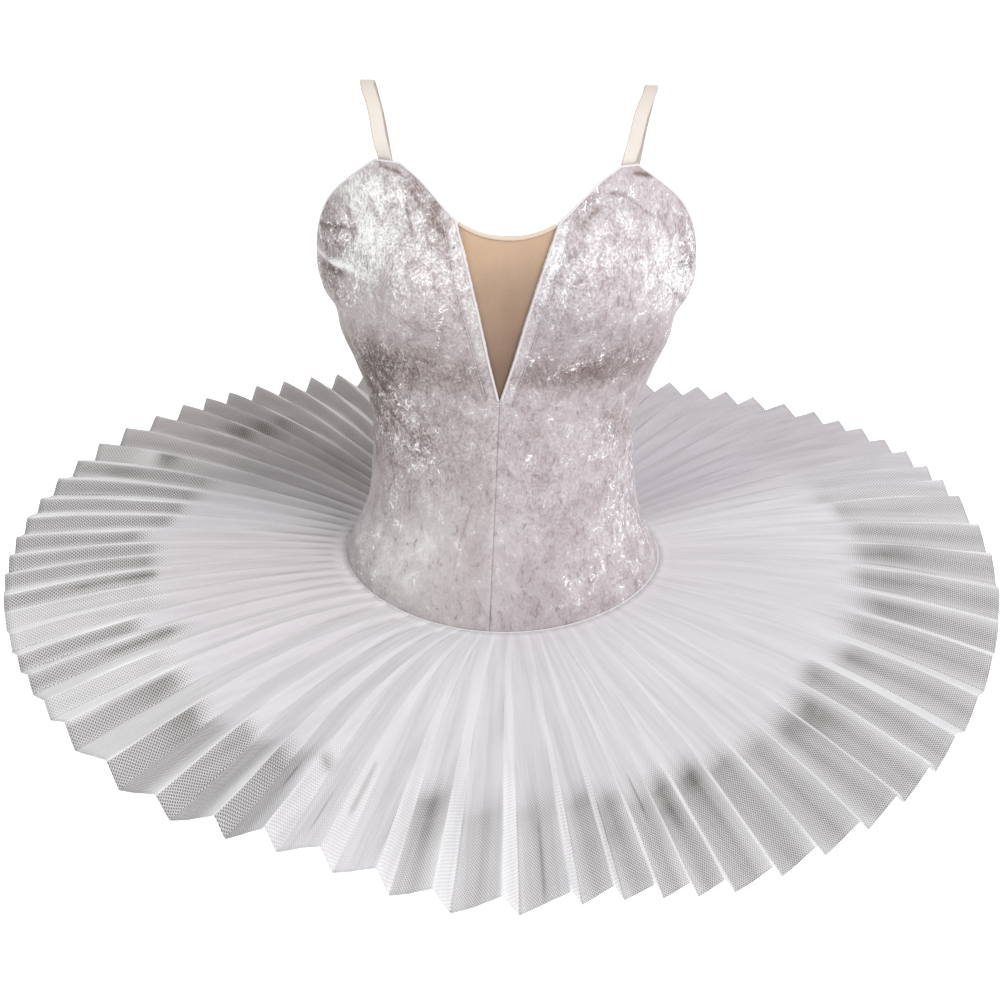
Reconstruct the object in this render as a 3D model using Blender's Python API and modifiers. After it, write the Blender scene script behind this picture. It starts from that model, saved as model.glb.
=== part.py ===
# Ballet dress: a crushed velvet bodice with a sheer insert in its V neck and two elastic straps, a
# pleated net skirt that stands out from the hips like a plate, two shorter net layers under it and a
# brief. The dress keeps the form it has when it is worn, and is hollow.
# Metres, +Z up, front towards -Y. The origin lies midway between the straps, at the height of the
# shoulders that they rest on.

import math
import random
from collections import namedtuple

import bmesh
import bpy
from mathutils import Vector

MM = 0.001

# Cloth walls
VELVET = 1.6 * MM
SHEER = 1.0 * MM
NET = 1.2 * MM
ELASTIC = 1.4 * MM
BINDING = 1.0 * MM
SEAM_GAP = 0.5 * MM
LAY_GAP = 0.3 * MM

# Bust: how far each cup stands forward, where, and how far it spreads
CUP_DEPTH = 30 * MM
CUP_X = 82 * MM
CUP_Z = -158 * MM
CUP_WIDTH = 48 * MM
CUP_RISE = 62 * MM
CUP_FALL = 46 * MM

# Line where the bodice meets the skirt: its height, forward tilt and bow
SEAM_Z = -458 * MM
SEAM_TILT = 24.5 * MM
SEAM_BOW = 6 * MM

# The centre front leans a little: it crosses the middle at this height, by this much a metre
LEAN = 0.029
LEAN_Z = -180 * MM

# Skirt plate: the rim's half width and half depth, and how far the plate bulges up between its edges
RIM_X = 472 * MM
RIM_Y = 450 * MM
CROWN = 10 * MM
PLEAT_SPREAD = 0.1
PLEAT_SEED = 11
SEAM_FOLD = 3 * MM
FOLD_GROWTH = 0.8

# Straps
STRAP_WIDTH = 12 * MM
STRAP_TUCK = 9 * MM
STRAP_GAP = 1.0 * MM
STRAP_BACK_X = 101 * MM

# Back edge of the bodice
BACK_EDGE_Z = -188 * MM
BACK_SCOOP = 52 * MM

# Sheer insert: how far it goes under the velvet, and its sag at the top
INSERT_UNDER = 4 * MM
INSERT_SAG = 13 * MM
INSERT_DEPTH = VELVET + 1.2 * MM
BINDING_HEIGHT = 4 * MM
BINDING_SHORT = 1.5 * MM

# How finely each piece is divided
LOW_ROWS = 8
HIGH_ROWS = 16
FRONT_COLUMNS = 12
BACK_COLUMNS = 24
BACK_ROWS = 12
INSERT_COLUMNS = 8
INSERT_ROWS = 8
BRIEF_COLUMNS = 48
BRIEF_ROWS = 7
STRAP_PIECES = 26

Section = namedtuple("Section", "z side front back")
# Outer surface of the bodice, from hip to shoulder: half width, depth to the front and to the back
TORSO = [
    Section(*(size * MM for size in row))
    for row in (
        (-550, 158, 108, 122),
        (-490, 153, 106, 112),
        (-452, 149, 104, 106),
        (-417, 134.5, 98, 96),
        (-396, 127, 94, 89),
        (-356, 123, 91, 82),
        (-318, 123, 91, 80),
        (-288, 128, 93, 82),
        (-258, 139, 97, 86),
        (-230, 151, 101, 91),
        (-204, 157, 104, 95),
        (-186, 168, 106, 98),
        (-164, 172, 107, 100),
        (-120, 173, 107, 102),
        (-80, 173, 103, 100),
        (-40, 173, 96, 95),
    )
]

FrontRow = namedtuple("FrontRow", "step neck_x neck_z arm_angle arm_z")
# Top of a front panel, from the V point to the strap: where the neck edge and the outer edge lie, and how
# far round from the centre front the outer edge is
FRONT_ROWS = [
    FrontRow(step, x * MM, z * MM, math.radians(angle), arm_z * MM)
    for step, x, z, angle, arm_z in (
        (0, 0, -262.5, 90, -270),
        (1, 11.5, -217, 90, -240),
        (2, 21, -174, 90, -212),
        (3, 32.5, -129, 90, -188),
        (4, 43.5, -92.6, 84.5, -160),
        (5, 54, -82.4, 80, -136),
        (6, 66, -70.5, 73, -113),
        (7, 79, -59.2, 62, -86),
        (8, 95, -49, 41.2, -49),
    )
]
INSERT_STEP = 4

StrapPoint = namedtuple("StrapPoint", "x y z")
# Middle line of a strap from the top of a cup, over the shoulder and down behind it
STRAP = [
    StrapPoint(x * MM, y * MM, z * MM)
    for x, y, z in (
        (106, -79, -49),
        (110, -70, -31),
        (116, -48, -11),
        (124, -18, 0.7),
        (126, 14, -2),
        (125, 46, -21),
        (120, 70, -56),
        (113, 82, -105),
    )
]

BriefEdge = namedtuple("BriefEdge", "share x y z")
# Lower edge of the brief from the crotch to the hip, round each leg opening, front and back
BRIEF_FRONT = [
    BriefEdge(share, x * MM, y * MM, z * MM)
    for share, x, y, z in (
        (0, 0, 0, -662),
        (0.17, 34, 0, -660),
        (0.36, 52, -56, -640),
        (0.56, 88, -86, -600),
        (0.78, 128, -70, -562),
        (1, 160, 0, -535),
    )
]
BRIEF_BACK = [
    BriefEdge(share, x * MM, y * MM, z * MM)
    for share, x, y, z in (
        (0, 0, 0, -662),
        (0.17, 34, 0, -660),
        (0.36, 76, 62, -654),
        (0.56, 118, 92, -630),
        (0.78, 148, 70, -588),
        (1, 160, 0, -535),
    )
]
BRIEF_BELLY = 1.05
BRIEF_SEAT = 1.34
BRIEF_DROP = 0.72
BRIEF_GAP = 1.1 * MM
SEWN_GAP = 0.9 * MM

RimRow = namedtuple("RimRow", "angle height")
# Height of the skirt's rim round the plate, which sinks to the front and waves a little
RIM = [
    RimRow(math.radians(angle), height * MM)
    for angle, height in (
        (-180, -450),
        (-150, -443),
        (-120, -443),
        (-90, -468),
        (-62, -493),
        (-36, -526),
        (-20, -525),
        (-2, -560),
        (13, -552),
        (26, -563),
        (42, -547),
        (62, -518),
        (90, -464),
        (120, -440),
        (150, -445),
        (180, -450),
    )
]

PleatZone = namedtuple("PleatZone", "pleats width steep height")
# Pleats from the centre back, past the wearer's right side, the front and the left side: how many of a
# kind, the width of each in degrees, the share of it that its steep side takes, and its height at the rim
PLEATS = [
    PleatZone(pleats, math.radians(width), steep, height * MM)
    for pleats, width, steep, height in (
        (6, 4.0, 0.3, 16),
        (6, 4.0, 0.22, 17),
        (4, 5.2, 0.25, 15),
        (11, 4.65, 0.3, 11),
        (2, 5.0, 0.3, 12),
        (3, 7.5, 0.25, 18),
        (4, 5.9, 0.25, 20),
        (2, 6.2, 0.4, 18),
        (4, 4.0, 0.3, 14),
        (6, 5.9, 0.25, 14),
        (7, 6.5, 0.4, 12),
        (17, 4.45, 0.48, 14),
    )
]
THIRD_WAVES = 48
THIRD_HEIGHT = 8 * MM

Cloth = namedtuple("Cloth", "colour roughness thickness")
VELVET_CLOTH = Cloth((0.78, 0.75, 0.77), 0.45, VELVET)
SHEER_CLOTH = Cloth((0.62, 0.46, 0.34), 0.7, SHEER)
ELASTIC_CLOTH = Cloth((0.80, 0.72, 0.64), 0.6, ELASTIC)
BINDING_CLOTH = Cloth((0.80, 0.72, 0.64), 0.6, BINDING)
NET_CLOTH = Cloth((0.86, 0.85, 0.87), 0.8, NET)
OUTSIDE, MIDDLE = -1, 0

Layer = namedtuple("Layer", "reach attach drop bands")
# Net layers: the share of the plate each covers, how far under the bodice it is sewn, how far it would lie
# under the top layer at the rim, and its bands of faces
TOP_LAYER = Layer(1.0, 1.2 * MM, 0, 6)
SECOND_LAYER = Layer(0.56, 8 * MM, 8 * MM, 4)
THIRD_LAYER = Layer(0.46, 16 * MM, 28 * MM, 3)


def smooth_value(rows, key, column, at):
    """The value of a column at a key between two rows, on a smooth curve through all of them."""
    keys = [getattr(row, key) for row in rows]
    values = [getattr(row, column) for row in rows]
    last = len(rows) - 1
    at = min(max(at, keys[0]), keys[last])
    low = max(k for k in range(last) if keys[k] <= at)

    def slope(k):
        before, after = max(k - 1, 0), min(k + 1, last)
        return (values[after] - values[before]) / (keys[after] - keys[before])

    span = keys[low + 1] - keys[low]
    u = (at - keys[low]) / span
    return (
        (2 * u**3 - 3 * u**2 + 1) * values[low]
        + (u**3 - 2 * u**2 + u) * span * slope(low)
        + (3 * u**2 - 2 * u**3) * values[low + 1]
        + (u**3 - u**2) * span * slope(low + 1)
    )


def mix(a, b, share):
    return a + (b - a) * share


def smooth_step(share):
    share = min(max(share, 0.0), 1.0)
    return share * share * (3 - 2 * share)


def cup(x, z):
    """How far the cups push the front of the bodice out."""
    spread = CUP_RISE if z > CUP_Z else CUP_FALL
    side = (abs(x) - CUP_X) / CUP_WIDTH
    level = (z - CUP_Z) / spread
    return CUP_DEPTH * math.exp(-side * side - level * level)


def torso_point(angle, z):
    """The bodice's outer surface, at an angle round from the centre front towards +X."""
    side = smooth_value(TORSO, "z", "side", z)
    depth = smooth_value(TORSO, "z", "front" if math.cos(angle) >= 0 else "back", z)
    x = side * math.sin(angle)
    y = -depth * math.cos(angle)
    if y < 0:
        y -= cup(x, z) * math.cos(angle) ** 0.5
    return Vector((x, y, z))


def torso_angle(x, z):
    """The angle at which the front of the bodice is x from the middle."""
    return math.asin(x / smooth_value(TORSO, "z", "side", z))


def outward(angle, z):
    step = 0.002
    across = torso_point(angle + step, z) - torso_point(angle - step, z)
    up = torso_point(angle, z + step) - torso_point(angle, z - step)
    return across.cross(up).normalized()


def seam_z(angle):
    """Height of the line where bodice, skirt and brief meet."""
    return SEAM_Z - SEAM_TILT * math.cos(angle) - SEAM_BOW * math.cos(2 * angle)


def centre_x(z):
    """How far the centre front line stands to one side at a height."""
    return LEAN * (z - LEAN_Z)


def cloth_material(name, cloth):
    material = bpy.data.materials.new(name)
    material.use_nodes = True
    shader = material.node_tree.nodes["Principled BSDF"]
    shader.inputs["Base Color"].default_value = (*cloth.colour, 1)
    shader.inputs["Roughness"].default_value = cloth.roughness
    shader.inputs["Metallic"].default_value = 0
    return material


def wall(name, columns, rows, place, cloth, laid=OUTSIDE, closed=False):
    """A cloth wall: a grid laid where place(across, up) puts its points, and thickened inwards, or to
    both sides where the grid is the wall's middle."""
    bm = bmesh.new()
    bmesh.ops.create_grid(bm, x_segments=columns, y_segments=rows, size=0.5)
    for vertex in bm.verts:
        vertex.co = place(vertex.co.x + 0.5, vertex.co.y + 0.5)
    if closed:
        bmesh.ops.remove_doubles(bm, verts=bm.verts, dist=0.00001)
    mesh = bpy.data.meshes.new(name)
    bm.to_mesh(mesh)
    bm.free()
    mesh.materials.append(cloth_material(name + "_cloth", cloth))
    piece = bpy.data.objects.new(name, mesh)
    bpy.data.collections["ballet_dress"].objects.link(piece)
    solidify = piece.modifiers.new("wall", "SOLIDIFY")
    solidify.thickness = cloth.thickness
    solidify.offset = laid
    solidify.use_even_offset = True


def front_edge(step):
    """The neck edge and outer edge of a front panel at a step between the V point and the strap."""
    values = (smooth_value(FRONT_ROWS, "step", column, step) for column in FrontRow._fields[1:])
    return FrontRow(step, *values)


def front_point(side, share, up):
    """A point of a front panel, from the centre front or neck edge to the side, and from hem to strap."""
    gap = SEAM_GAP / 2
    row = up * (LOW_ROWS + HIGH_ROWS)
    edge = front_edge(max(row - LOW_ROWS, 0) * FRONT_ROWS[-1].step / HIGH_ROWS)
    low = min(row / LOW_ROWS, 1)
    centre_z = mix(seam_z(0), edge.neck_z, low)
    centre_angle = torso_angle(max(edge.neck_x, gap) + side * centre_x(centre_z), centre_z)
    side_end = math.pi / 2 - gap / smooth_value(TORSO, "z", "front", SEAM_Z)
    angle = mix(centre_angle, min(edge.arm_angle, side_end), share)
    panel_z = mix(edge.neck_z, edge.arm_z, share)
    return torso_point(side * angle, mix(seam_z(angle), panel_z, low))


def make_front(side, name):
    def place(across, up):
        return front_point(side, across if side > 0 else 1 - across, up)

    wall(name, FRONT_COLUMNS, LOW_ROWS + HIGH_ROWS, place, VELVET_CLOTH)


def back_edge_z(angle):
    """Height of the bodice's top edge round the back, scooped in the middle."""
    return BACK_EDGE_Z - BACK_SCOOP * smooth_step(-math.cos(angle))


def make_back():
    gap = SEAM_GAP / 2 / smooth_value(TORSO, "z", "back", SEAM_Z)

    def place(across, up):
        angle = mix(math.pi / 2 + gap, math.pi * 3 / 2 - gap, across)
        return torso_point(angle, mix(seam_z(angle), back_edge_z(angle), up))

    wall("bodice_back", BACK_COLUMNS, BACK_ROWS, place, VELVET_CLOTH)


def insert_point(share, up, spread, depth, drop=0):
    """A point behind the V neck: share runs from -1 to 1 between its edges, widened by spread."""
    edge = front_edge(up * INSERT_STEP)
    x = (edge.neck_x + spread) * share
    sag = INSERT_SAG * smooth_step((up - 0.4) / 0.6) * (1 - share * share)
    z = edge.neck_z - sag - drop
    x += centre_x(z)
    angle = math.copysign(torso_angle(abs(x), z), x)
    return torso_point(angle, z) - outward(angle, z) * depth


def make_insert():
    def place(across, up):
        return insert_point(2 * across - 1, up, INSERT_UNDER, INSERT_DEPTH)

    wall("neck_insert", INSERT_COLUMNS, INSERT_ROWS, place, SHEER_CLOTH)


def make_insert_binding():
    """A narrow elastic on the insert's top edge, made from the insert's own points, moved out."""
    depth = INSERT_DEPTH - LAY_GAP - BINDING

    def place(across, up):
        drop = BINDING_HEIGHT * (1 - up)
        return insert_point(2 * across - 1, 1, -BINDING_SHORT, depth, drop)

    wall("neck_insert_binding", INSERT_COLUMNS, 1, place, BINDING_CLOTH)


def strap_path(side):
    """Points along a strap's middle and the way its width lies, with both ends inside the bodice."""
    inset = VELVET + STRAP_GAP + ELASTIC / 2
    points = []
    ways = []

    def tuck(angle, z):
        points.append(torso_point(angle, z) - outward(angle, z) * inset)
        way = torso_point(angle + 0.01, z) - torso_point(angle - 0.01, z)
        ways.append(way if math.cos(angle) > 0 else -way)

    top = STRAP[0]
    for z in (top.z - STRAP_TUCK, top.z):
        tuck(torso_angle(top.x, z), z)
    for point in STRAP[1:]:
        points.append(Vector(point))
        ways.append(Vector((1, 0, 0)))
    back_angle = math.pi - torso_angle(STRAP_BACK_X, BACK_EDGE_Z)
    edge_z = back_edge_z(back_angle)
    for z in (edge_z + 3 * STRAP_TUCK, edge_z, edge_z - STRAP_TUCK):
        tuck(back_angle, z)
    turn = Vector((side, 1, 1))
    return [point * turn for point in points], [way.normalized() * turn for way in ways]


def curve_point(points, share):
    """A point on a smooth curve through a list of points, at a share of its steps."""
    last = len(points) - 1
    at = min(max(share, 0.0), 1.0) * last
    low = min(int(at), last - 1)
    u = at - low
    before, after = points[max(low - 1, 0)], points[min(low + 2, last)]
    start, end = points[low], points[low + 1]
    return (
        start * (2 * u**3 - 3 * u**2 + 1)
        + (end - before) / 2 * (u**3 - 2 * u**2 + u)
        + end * (3 * u**2 - 2 * u**3)
        + (after - start) / 2 * (u**3 - u**2)
    )


def make_strap(side, name):
    points, ways = strap_path(side)
    step = 0.01

    def place(across, up):
        along = (curve_point(points, up + step) - curve_point(points, up - step)).normalized()
        way = curve_point(ways, up)
        way -= along * along.dot(way)
        return curve_point(points, up) + way.normalized() * side * (across - 0.5) * STRAP_WIDTH

    wall(name, 2, STRAP_PIECES, place, ELASTIC_CLOTH, MIDDLE)


def brief_point(angle, down):
    """The brief's outer surface: a curve from the hip seam to the lower edge, at an angle round."""
    front = math.cos(angle) >= 0
    turn = abs(math.remainder(angle, 2 * math.pi))
    share = turn / (math.pi / 2) if front else (math.pi - turn) / (math.pi / 2)
    rows = BRIEF_FRONT if front else BRIEF_BACK
    if share < rows[1].share:
        end = Vector(rows[0][1:]).lerp(Vector(rows[1][1:]), share / rows[1].share)
    else:
        end = Vector([smooth_value(rows, "share", column, share) for column in "xyz"])
    end.x = math.copysign(end.x, math.sin(angle))
    start = torso_point(angle, seam_z(angle))
    start.z -= BRIEF_GAP
    full = mix(BRIEF_BELLY if front else BRIEF_SEAT, BRIEF_BELLY, share)
    middle = Vector((start.x * BRIEF_BELLY, start.y * full, mix(start.z, end.z, BRIEF_DROP)))
    return start * (1 - down) ** 2 + middle * 2 * down * (1 - down) + end * down**2


def make_brief():
    def place(across, up):
        return brief_point(2 * math.pi * (across - 0.5), 1 - up)

    wall("brief", BRIEF_COLUMNS, BRIEF_ROWS, place, VELVET_CLOTH, closed=True)


def sewn_point(angle, depth):
    """A point just outside the brief, a given depth under the hip seam."""
    target = seam_z(angle) - BRIEF_GAP - depth
    low, high = 0.0, 1.0
    for _ in range(24):
        middle = (low + high) / 2
        if brief_point(angle, middle).z > target:
            low = middle
        else:
            high = middle
    point = brief_point(angle, low)
    flat = Vector((point.x, point.y, 0))
    return point + flat.normalized() * SEWN_GAP


def pleat_folds():
    """The skirt's folds, ridge and valley by turns: the angle of each and its height at the rim."""
    pick = random.Random(PLEAT_SEED)
    pleats = [zone for zone in PLEATS for _ in range(zone.pleats)]
    widths = [zone.width * (1 + pick.uniform(-PLEAT_SPREAD, PLEAT_SPREAD)) for zone in pleats]
    scale = 2 * math.pi / sum(widths)
    folds, angle = [], -math.pi
    for zone, width in zip(pleats, widths):
        width *= scale
        folds.append((angle, zone.height / 2))
        folds.append((angle + width * zone.steep, -zone.height / 2))
        angle += width
    return folds


def plate_point(angle, out, layer):
    """The middle of a net layer before its folds, at a share of the plate's width."""
    inner = sewn_point(angle, layer.attach)
    round_angle = math.remainder(angle, 2 * math.pi)
    rim_z = smooth_value(RIM, "angle", "height", round_angle) - layer.drop
    rim = Vector((RIM_X * math.sin(angle), -RIM_Y * math.cos(angle), rim_z))
    point = inner.lerp(rim, out)
    point.z += CROWN * 4 * out * (1 - out)
    return point


def make_net(name, layer, folds):
    """A net layer whose folds grow towards its rim."""
    columns = len(folds)

    def place(across, up):
        angle, height = folds[round(across * columns) % columns]
        out = (1 - up) * layer.reach
        point = plate_point(angle, out, layer)
        low = math.copysign(SEAM_FOLD / 2, height)
        point.z += mix(low, height, out**FOLD_GROWTH)
        return point

    wall(name, columns, layer.bands, place, NET_CLOTH, MIDDLE, closed=True)


def gathered_folds():
    """Even waves: the angle of each crest and hollow and its height."""
    step = math.pi / THIRD_WAVES
    return [(k * step - math.pi, THIRD_HEIGHT * (0.5 - k % 2)) for k in range(2 * THIRD_WAVES)]


def clear_scene():
    for old in list(bpy.data.objects):
        bpy.data.objects.remove(old)
    group = bpy.data.collections.new("ballet_dress")
    bpy.context.scene.collection.children.link(group)


def main():
    clear_scene()
    make_front(-1, "bodice_front_right")
    make_front(1, "bodice_front_left")
    make_back()
    make_insert()
    make_insert_binding()
    make_strap(-1, "strap_right")
    make_strap(1, "strap_left")
    make_brief()
    folds = pleat_folds()
    make_net("skirt_top", TOP_LAYER, folds)
    make_net("skirt_second", SECOND_LAYER, folds)
    make_net("skirt_third", THIRD_LAYER, gathered_folds())


main()
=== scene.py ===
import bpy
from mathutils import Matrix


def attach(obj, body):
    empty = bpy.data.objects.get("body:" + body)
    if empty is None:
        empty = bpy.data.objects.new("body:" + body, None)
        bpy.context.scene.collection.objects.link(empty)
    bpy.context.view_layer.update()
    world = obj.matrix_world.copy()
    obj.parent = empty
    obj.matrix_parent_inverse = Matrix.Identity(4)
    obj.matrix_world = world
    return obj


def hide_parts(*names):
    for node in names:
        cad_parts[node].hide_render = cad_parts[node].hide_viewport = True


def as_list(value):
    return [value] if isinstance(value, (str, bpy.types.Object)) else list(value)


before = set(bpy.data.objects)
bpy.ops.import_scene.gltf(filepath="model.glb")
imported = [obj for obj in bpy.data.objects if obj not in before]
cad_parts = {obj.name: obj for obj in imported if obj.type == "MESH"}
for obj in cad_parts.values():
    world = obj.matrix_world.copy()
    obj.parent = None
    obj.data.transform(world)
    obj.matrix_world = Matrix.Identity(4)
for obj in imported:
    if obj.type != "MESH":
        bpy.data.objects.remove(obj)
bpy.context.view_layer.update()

# Ballet dress: crushed velvet bodice, sheer insert, elastic straps and a pleated net skirt.
# Metres, +Z up, front towards -Y, origin midway between the straps.
import functools
import math
import random

import bmesh
import bpy
from mathutils import Matrix, Quaternion, Vector, noise

mm = 0.001
fullTurn = 2 * math.pi


def columnsOf(names, rows, scale=1.0):
    # a small table as named columns; the first column keeps its own unit
    names = names.split()
    return {name: [row[k] * (scale if k else 1) for row in rows] for k, name in enumerate(names)}


def smoothValue(rows, key, column, at):
    # smooth curve through the rows of a table
    keys, values = rows[key], rows[column]
    last = len(keys) - 1
    at = min(max(at, keys[0]), keys[last])
    low = 0
    while low < last - 1 and keys[low + 1] <= at:
        low += 1

    def slope(k):
        before, after = max(k - 1, 0), min(k + 1, last)
        return (values[after] - values[before]) / (keys[after] - keys[before])

    span = keys[low + 1] - keys[low]
    u = (at - keys[low]) / span
    return (
        (2 * u**3 - 3 * u**2 + 1) * values[low]
        + (u**3 - 2 * u**2 + u) * span * slope(low)
        + (3 * u**2 - 2 * u**3) * values[low + 1]
        + (u**3 - u**2) * span * slope(low + 1)
    )


def mix(a, b, share):
    return a + (b - a) * share


def smoothStep(share):
    share = min(max(share, 0.0), 1.0)
    return share * share * (3 - 2 * share)


def bell(distance, width):
    return math.exp(-((distance / width) ** 2))


# Form of the body of the dress, the same as in the part
torso = columnsOf(
    "z side front back",
    [
        [size * mm for size in row]
        for row in (
            (-550, 158, 108, 122), (-490, 153, 106, 112), (-452, 149, 104, 106), (-417, 134.5, 98, 96),
            (-396, 127, 94, 89), (-356, 123, 91, 82), (-318, 123, 91, 80), (-288, 128, 93, 82),
            (-258, 139, 97, 86), (-230, 151, 101, 91), (-204, 157, 104, 95), (-186, 168, 106, 98),
            (-164, 172, 107, 100), (-120, 173, 107, 102), (-80, 173, 103, 100), (-40, 173, 96, 95),
        )
    ],
)
cupForm = dict(depth=30 * mm, x=82 * mm, z=-158 * mm, width=48 * mm, rise=62 * mm, fall=46 * mm)
hipSeam = dict(z=-458 * mm, tilt=24.5 * mm, bow=6 * mm, halfGap=0.25 * mm)
centreLine = dict(lean=0.029, level=-180 * mm)


def cupOut(x, z):
    spread = cupForm["rise"] if z > cupForm["z"] else cupForm["fall"]
    side = bell(abs(x) - cupForm["x"], cupForm["width"])
    return cupForm["depth"] * side * bell(z - cupForm["z"], spread)


def torsoPoint(angle, z):
    side = smoothValue(torso, "z", "side", z)
    depth = smoothValue(torso, "z", "front" if math.cos(angle) >= 0 else "back", z)
    x = side * math.sin(angle)
    y = -depth * math.cos(angle)
    if y < 0:
        y -= cupOut(x, z) * math.cos(angle) ** 0.5
    return Vector((x, y, z))


def torsoAngle(x, z):
    return math.asin(x / smoothValue(torso, "z", "side", z))


def outward(angle, z):
    step = 0.002
    across = torsoPoint(angle + step, z) - torsoPoint(angle - step, z)
    up = torsoPoint(angle, z + step) - torsoPoint(angle, z - step)
    return across.cross(up).normalized()


def seamZ(angle):
    return hipSeam["z"] - hipSeam["tilt"] * math.cos(angle) - hipSeam["bow"] * math.cos(2 * angle)


def centreX(z):
    return centreLine["lean"] * (z - centreLine["level"])


def pieceFrom(name, bm, material):
    # the finished bmesh as an object in one material
    mesh = bpy.data.meshes.new(name)
    bm.to_mesh(mesh)
    bm.free()
    mesh.materials.append(material)
    piece = bpy.data.objects.new(name, mesh)
    bpy.context.scene.collection.objects.link(piece)
    return piece


def standFor(node):
    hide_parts(node)


def makeCloth(name, columns, rows, place, material, body=dict(), uvOf=None, paint=None, relief=None,
              sharp=None):
    # a grid laid where place(across, up) puts it; body gives its wall, and closed=True joins its sides
    bm = bmesh.new()
    bmesh.ops.create_grid(bm, x_segments=columns, y_segments=rows, size=0.5)
    where = [(vertex.co.x + 0.5, vertex.co.y + 0.5) for vertex in bm.verts]
    for vertex, (across, up) in zip(bm.verts, where):
        vertex.co = place(across, up)
    bm.verts.index_update()
    if uvOf:
        layer = bm.loops.layers.uv.new("cloth")
        for face in bm.faces:
            middle = sum(where[vertex.index][0] for vertex in face.verts) / 4
            for loop in face.loops:
                loop[layer].uv = uvOf(*where[loop.vert.index], middle, loop.vert.co)
    if paint:
        tone = bm.verts.layers.float_color.new("tone")
        for vertex, (across, up) in zip(bm.verts, where):
            vertex[tone] = paint(across, up, vertex.co)
    if sharp:
        for edge in bm.edges:
            one, two = (where[vertex.index][0] for vertex in edge.verts)
            edge.smooth = not (abs(one - two) < 0.01 / columns and sharp(one))
    if relief:
        bm.normal_update()
        shifts = [vertex.normal * relief(*where[vertex.index], vertex.co) for vertex in bm.verts]
        for vertex, shift in zip(bm.verts, shifts):
            vertex.co += shift
    if body.get("closed"):
        bmesh.ops.remove_doubles(bm, verts=bm.verts, dist=0.00001)
    if body.get("capped"):
        ends = [edge for edge in bm.edges if edge.is_boundary]
        bmesh.ops.holes_fill(bm, edges=ends, sides=0)
    for face in bm.faces:
        face.smooth = True
    piece = pieceFrom(name, bm, material)
    if body.get("thickness"):
        wall = piece.modifiers.new("wall", "SOLIDIFY")
        wall.thickness = body["thickness"]
        wall.offset = body.get("laid", -1)
        wall.use_even_offset = True
    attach(piece, "root")
    return piece


def makeTube(name, points, outs, radius, material, sides=8, flat=1.0, closed=False):
    # a round or flattened trim along points, with the way out at each of them
    last = len(points) - 1

    def place(across, up):
        at = round(up * last)
        before, after = points[max(at - 1, 0)], points[min(at + 1, last)]
        if closed and at in (0, last):
            before, after = points[last - 1], points[1]
        along = (after - before).normalized()
        out = (outs[at] - along * along.dot(outs[at])).normalized()
        way = along.cross(out)
        turn = fullTurn * across
        return points[at] + way * math.cos(turn) * radius + out * math.sin(turn) * radius * flat

    return makeCloth(name, sides, last, place, material, dict(closed=True, capped=not closed))


# Materials: short ways to add nodes, then a function for each kind of cloth
def newMaterial(name):
    material = bpy.data.materials.new(name)
    material.use_nodes = True
    tree = material.node_tree
    return material, tree, tree.nodes["Principled BSDF"]


def add(tree, kind, inputs=None, **settings):
    # a node with its settings, and inputs given as values or as sockets to link
    made = tree.nodes.new("ShaderNode" + kind)
    for key, value in settings.items():
        setattr(made, key, value)
    for key, value in (inputs or {}).items():
        if isinstance(value, bpy.types.NodeSocket):
            tree.links.new(value, made.inputs[key])
        else:
            made.inputs[key].default_value = value
    return made


def maths(tree, operation, *values, clamp=False):
    inputs = {k: value for k, value in enumerate(values)}
    return add(tree, "Math", inputs, operation=operation, use_clamp=clamp).outputs[0]


def ranged(tree, value, low, high, toLow=0.0, toHigh=1.0):
    made = add(tree, "MapRange", {0: value, 1: low, 2: high, 3: toLow, 4: toHigh})
    made.interpolation_type = "SMOOTHSTEP"
    return made.outputs[0]


def colourMix(tree, share, one, two, blend="MIX"):
    made = add(tree, "Mix", data_type="RGBA", blend_type=blend)
    for socket, value in zip((made.inputs[0], made.inputs[6], made.inputs[7]), (share, one, two)):
        if isinstance(value, bpy.types.NodeSocket):
            tree.links.new(value, socket)
        else:
            socket.default_value = value
    return made.outputs[2]


velvetLook = dict(
    stretch=(1, 1, 0.74),  # the crush runs a little longer up and down than across
    warpScale=42,
    warp=0.011,
    cloudScale=24,
    crushScale=78,
    grainScale=470,
    dashScale=(300, 300, 120),
    crackScale=92,
    breakScale=210,
    napScale=1500,
    # how much each pattern tells in the colour, and how high it stands
    shares=dict(ridge=0.24, grain=2.5, cloud=0.36, crush=0.28, nap=0.12, dash=0.6),
    relief=dict(ridge=0.16, crush=0.75, grain=0.10, dash=-0.06),
    ramp=(
        (0.0, (0.13, 0.098, 0.088, 1)),
        (0.3, (0.265, 0.213, 0.200, 1)),
        (0.55, (0.430, 0.368, 0.374, 1)),
        (0.78, (0.595, 0.558, 0.562, 1)),
        (1.0, (0.90, 0.90, 0.885, 1)),
    ),
    dash=(0.25, 0.20, 0.225, 1),
    glint=(1.0, 1.0, 1.0, 1),
    warm=(1.0, 1.0, 0.985, 1),
    cool=(1.0, 0.993, 1.014, 1),
)


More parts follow.
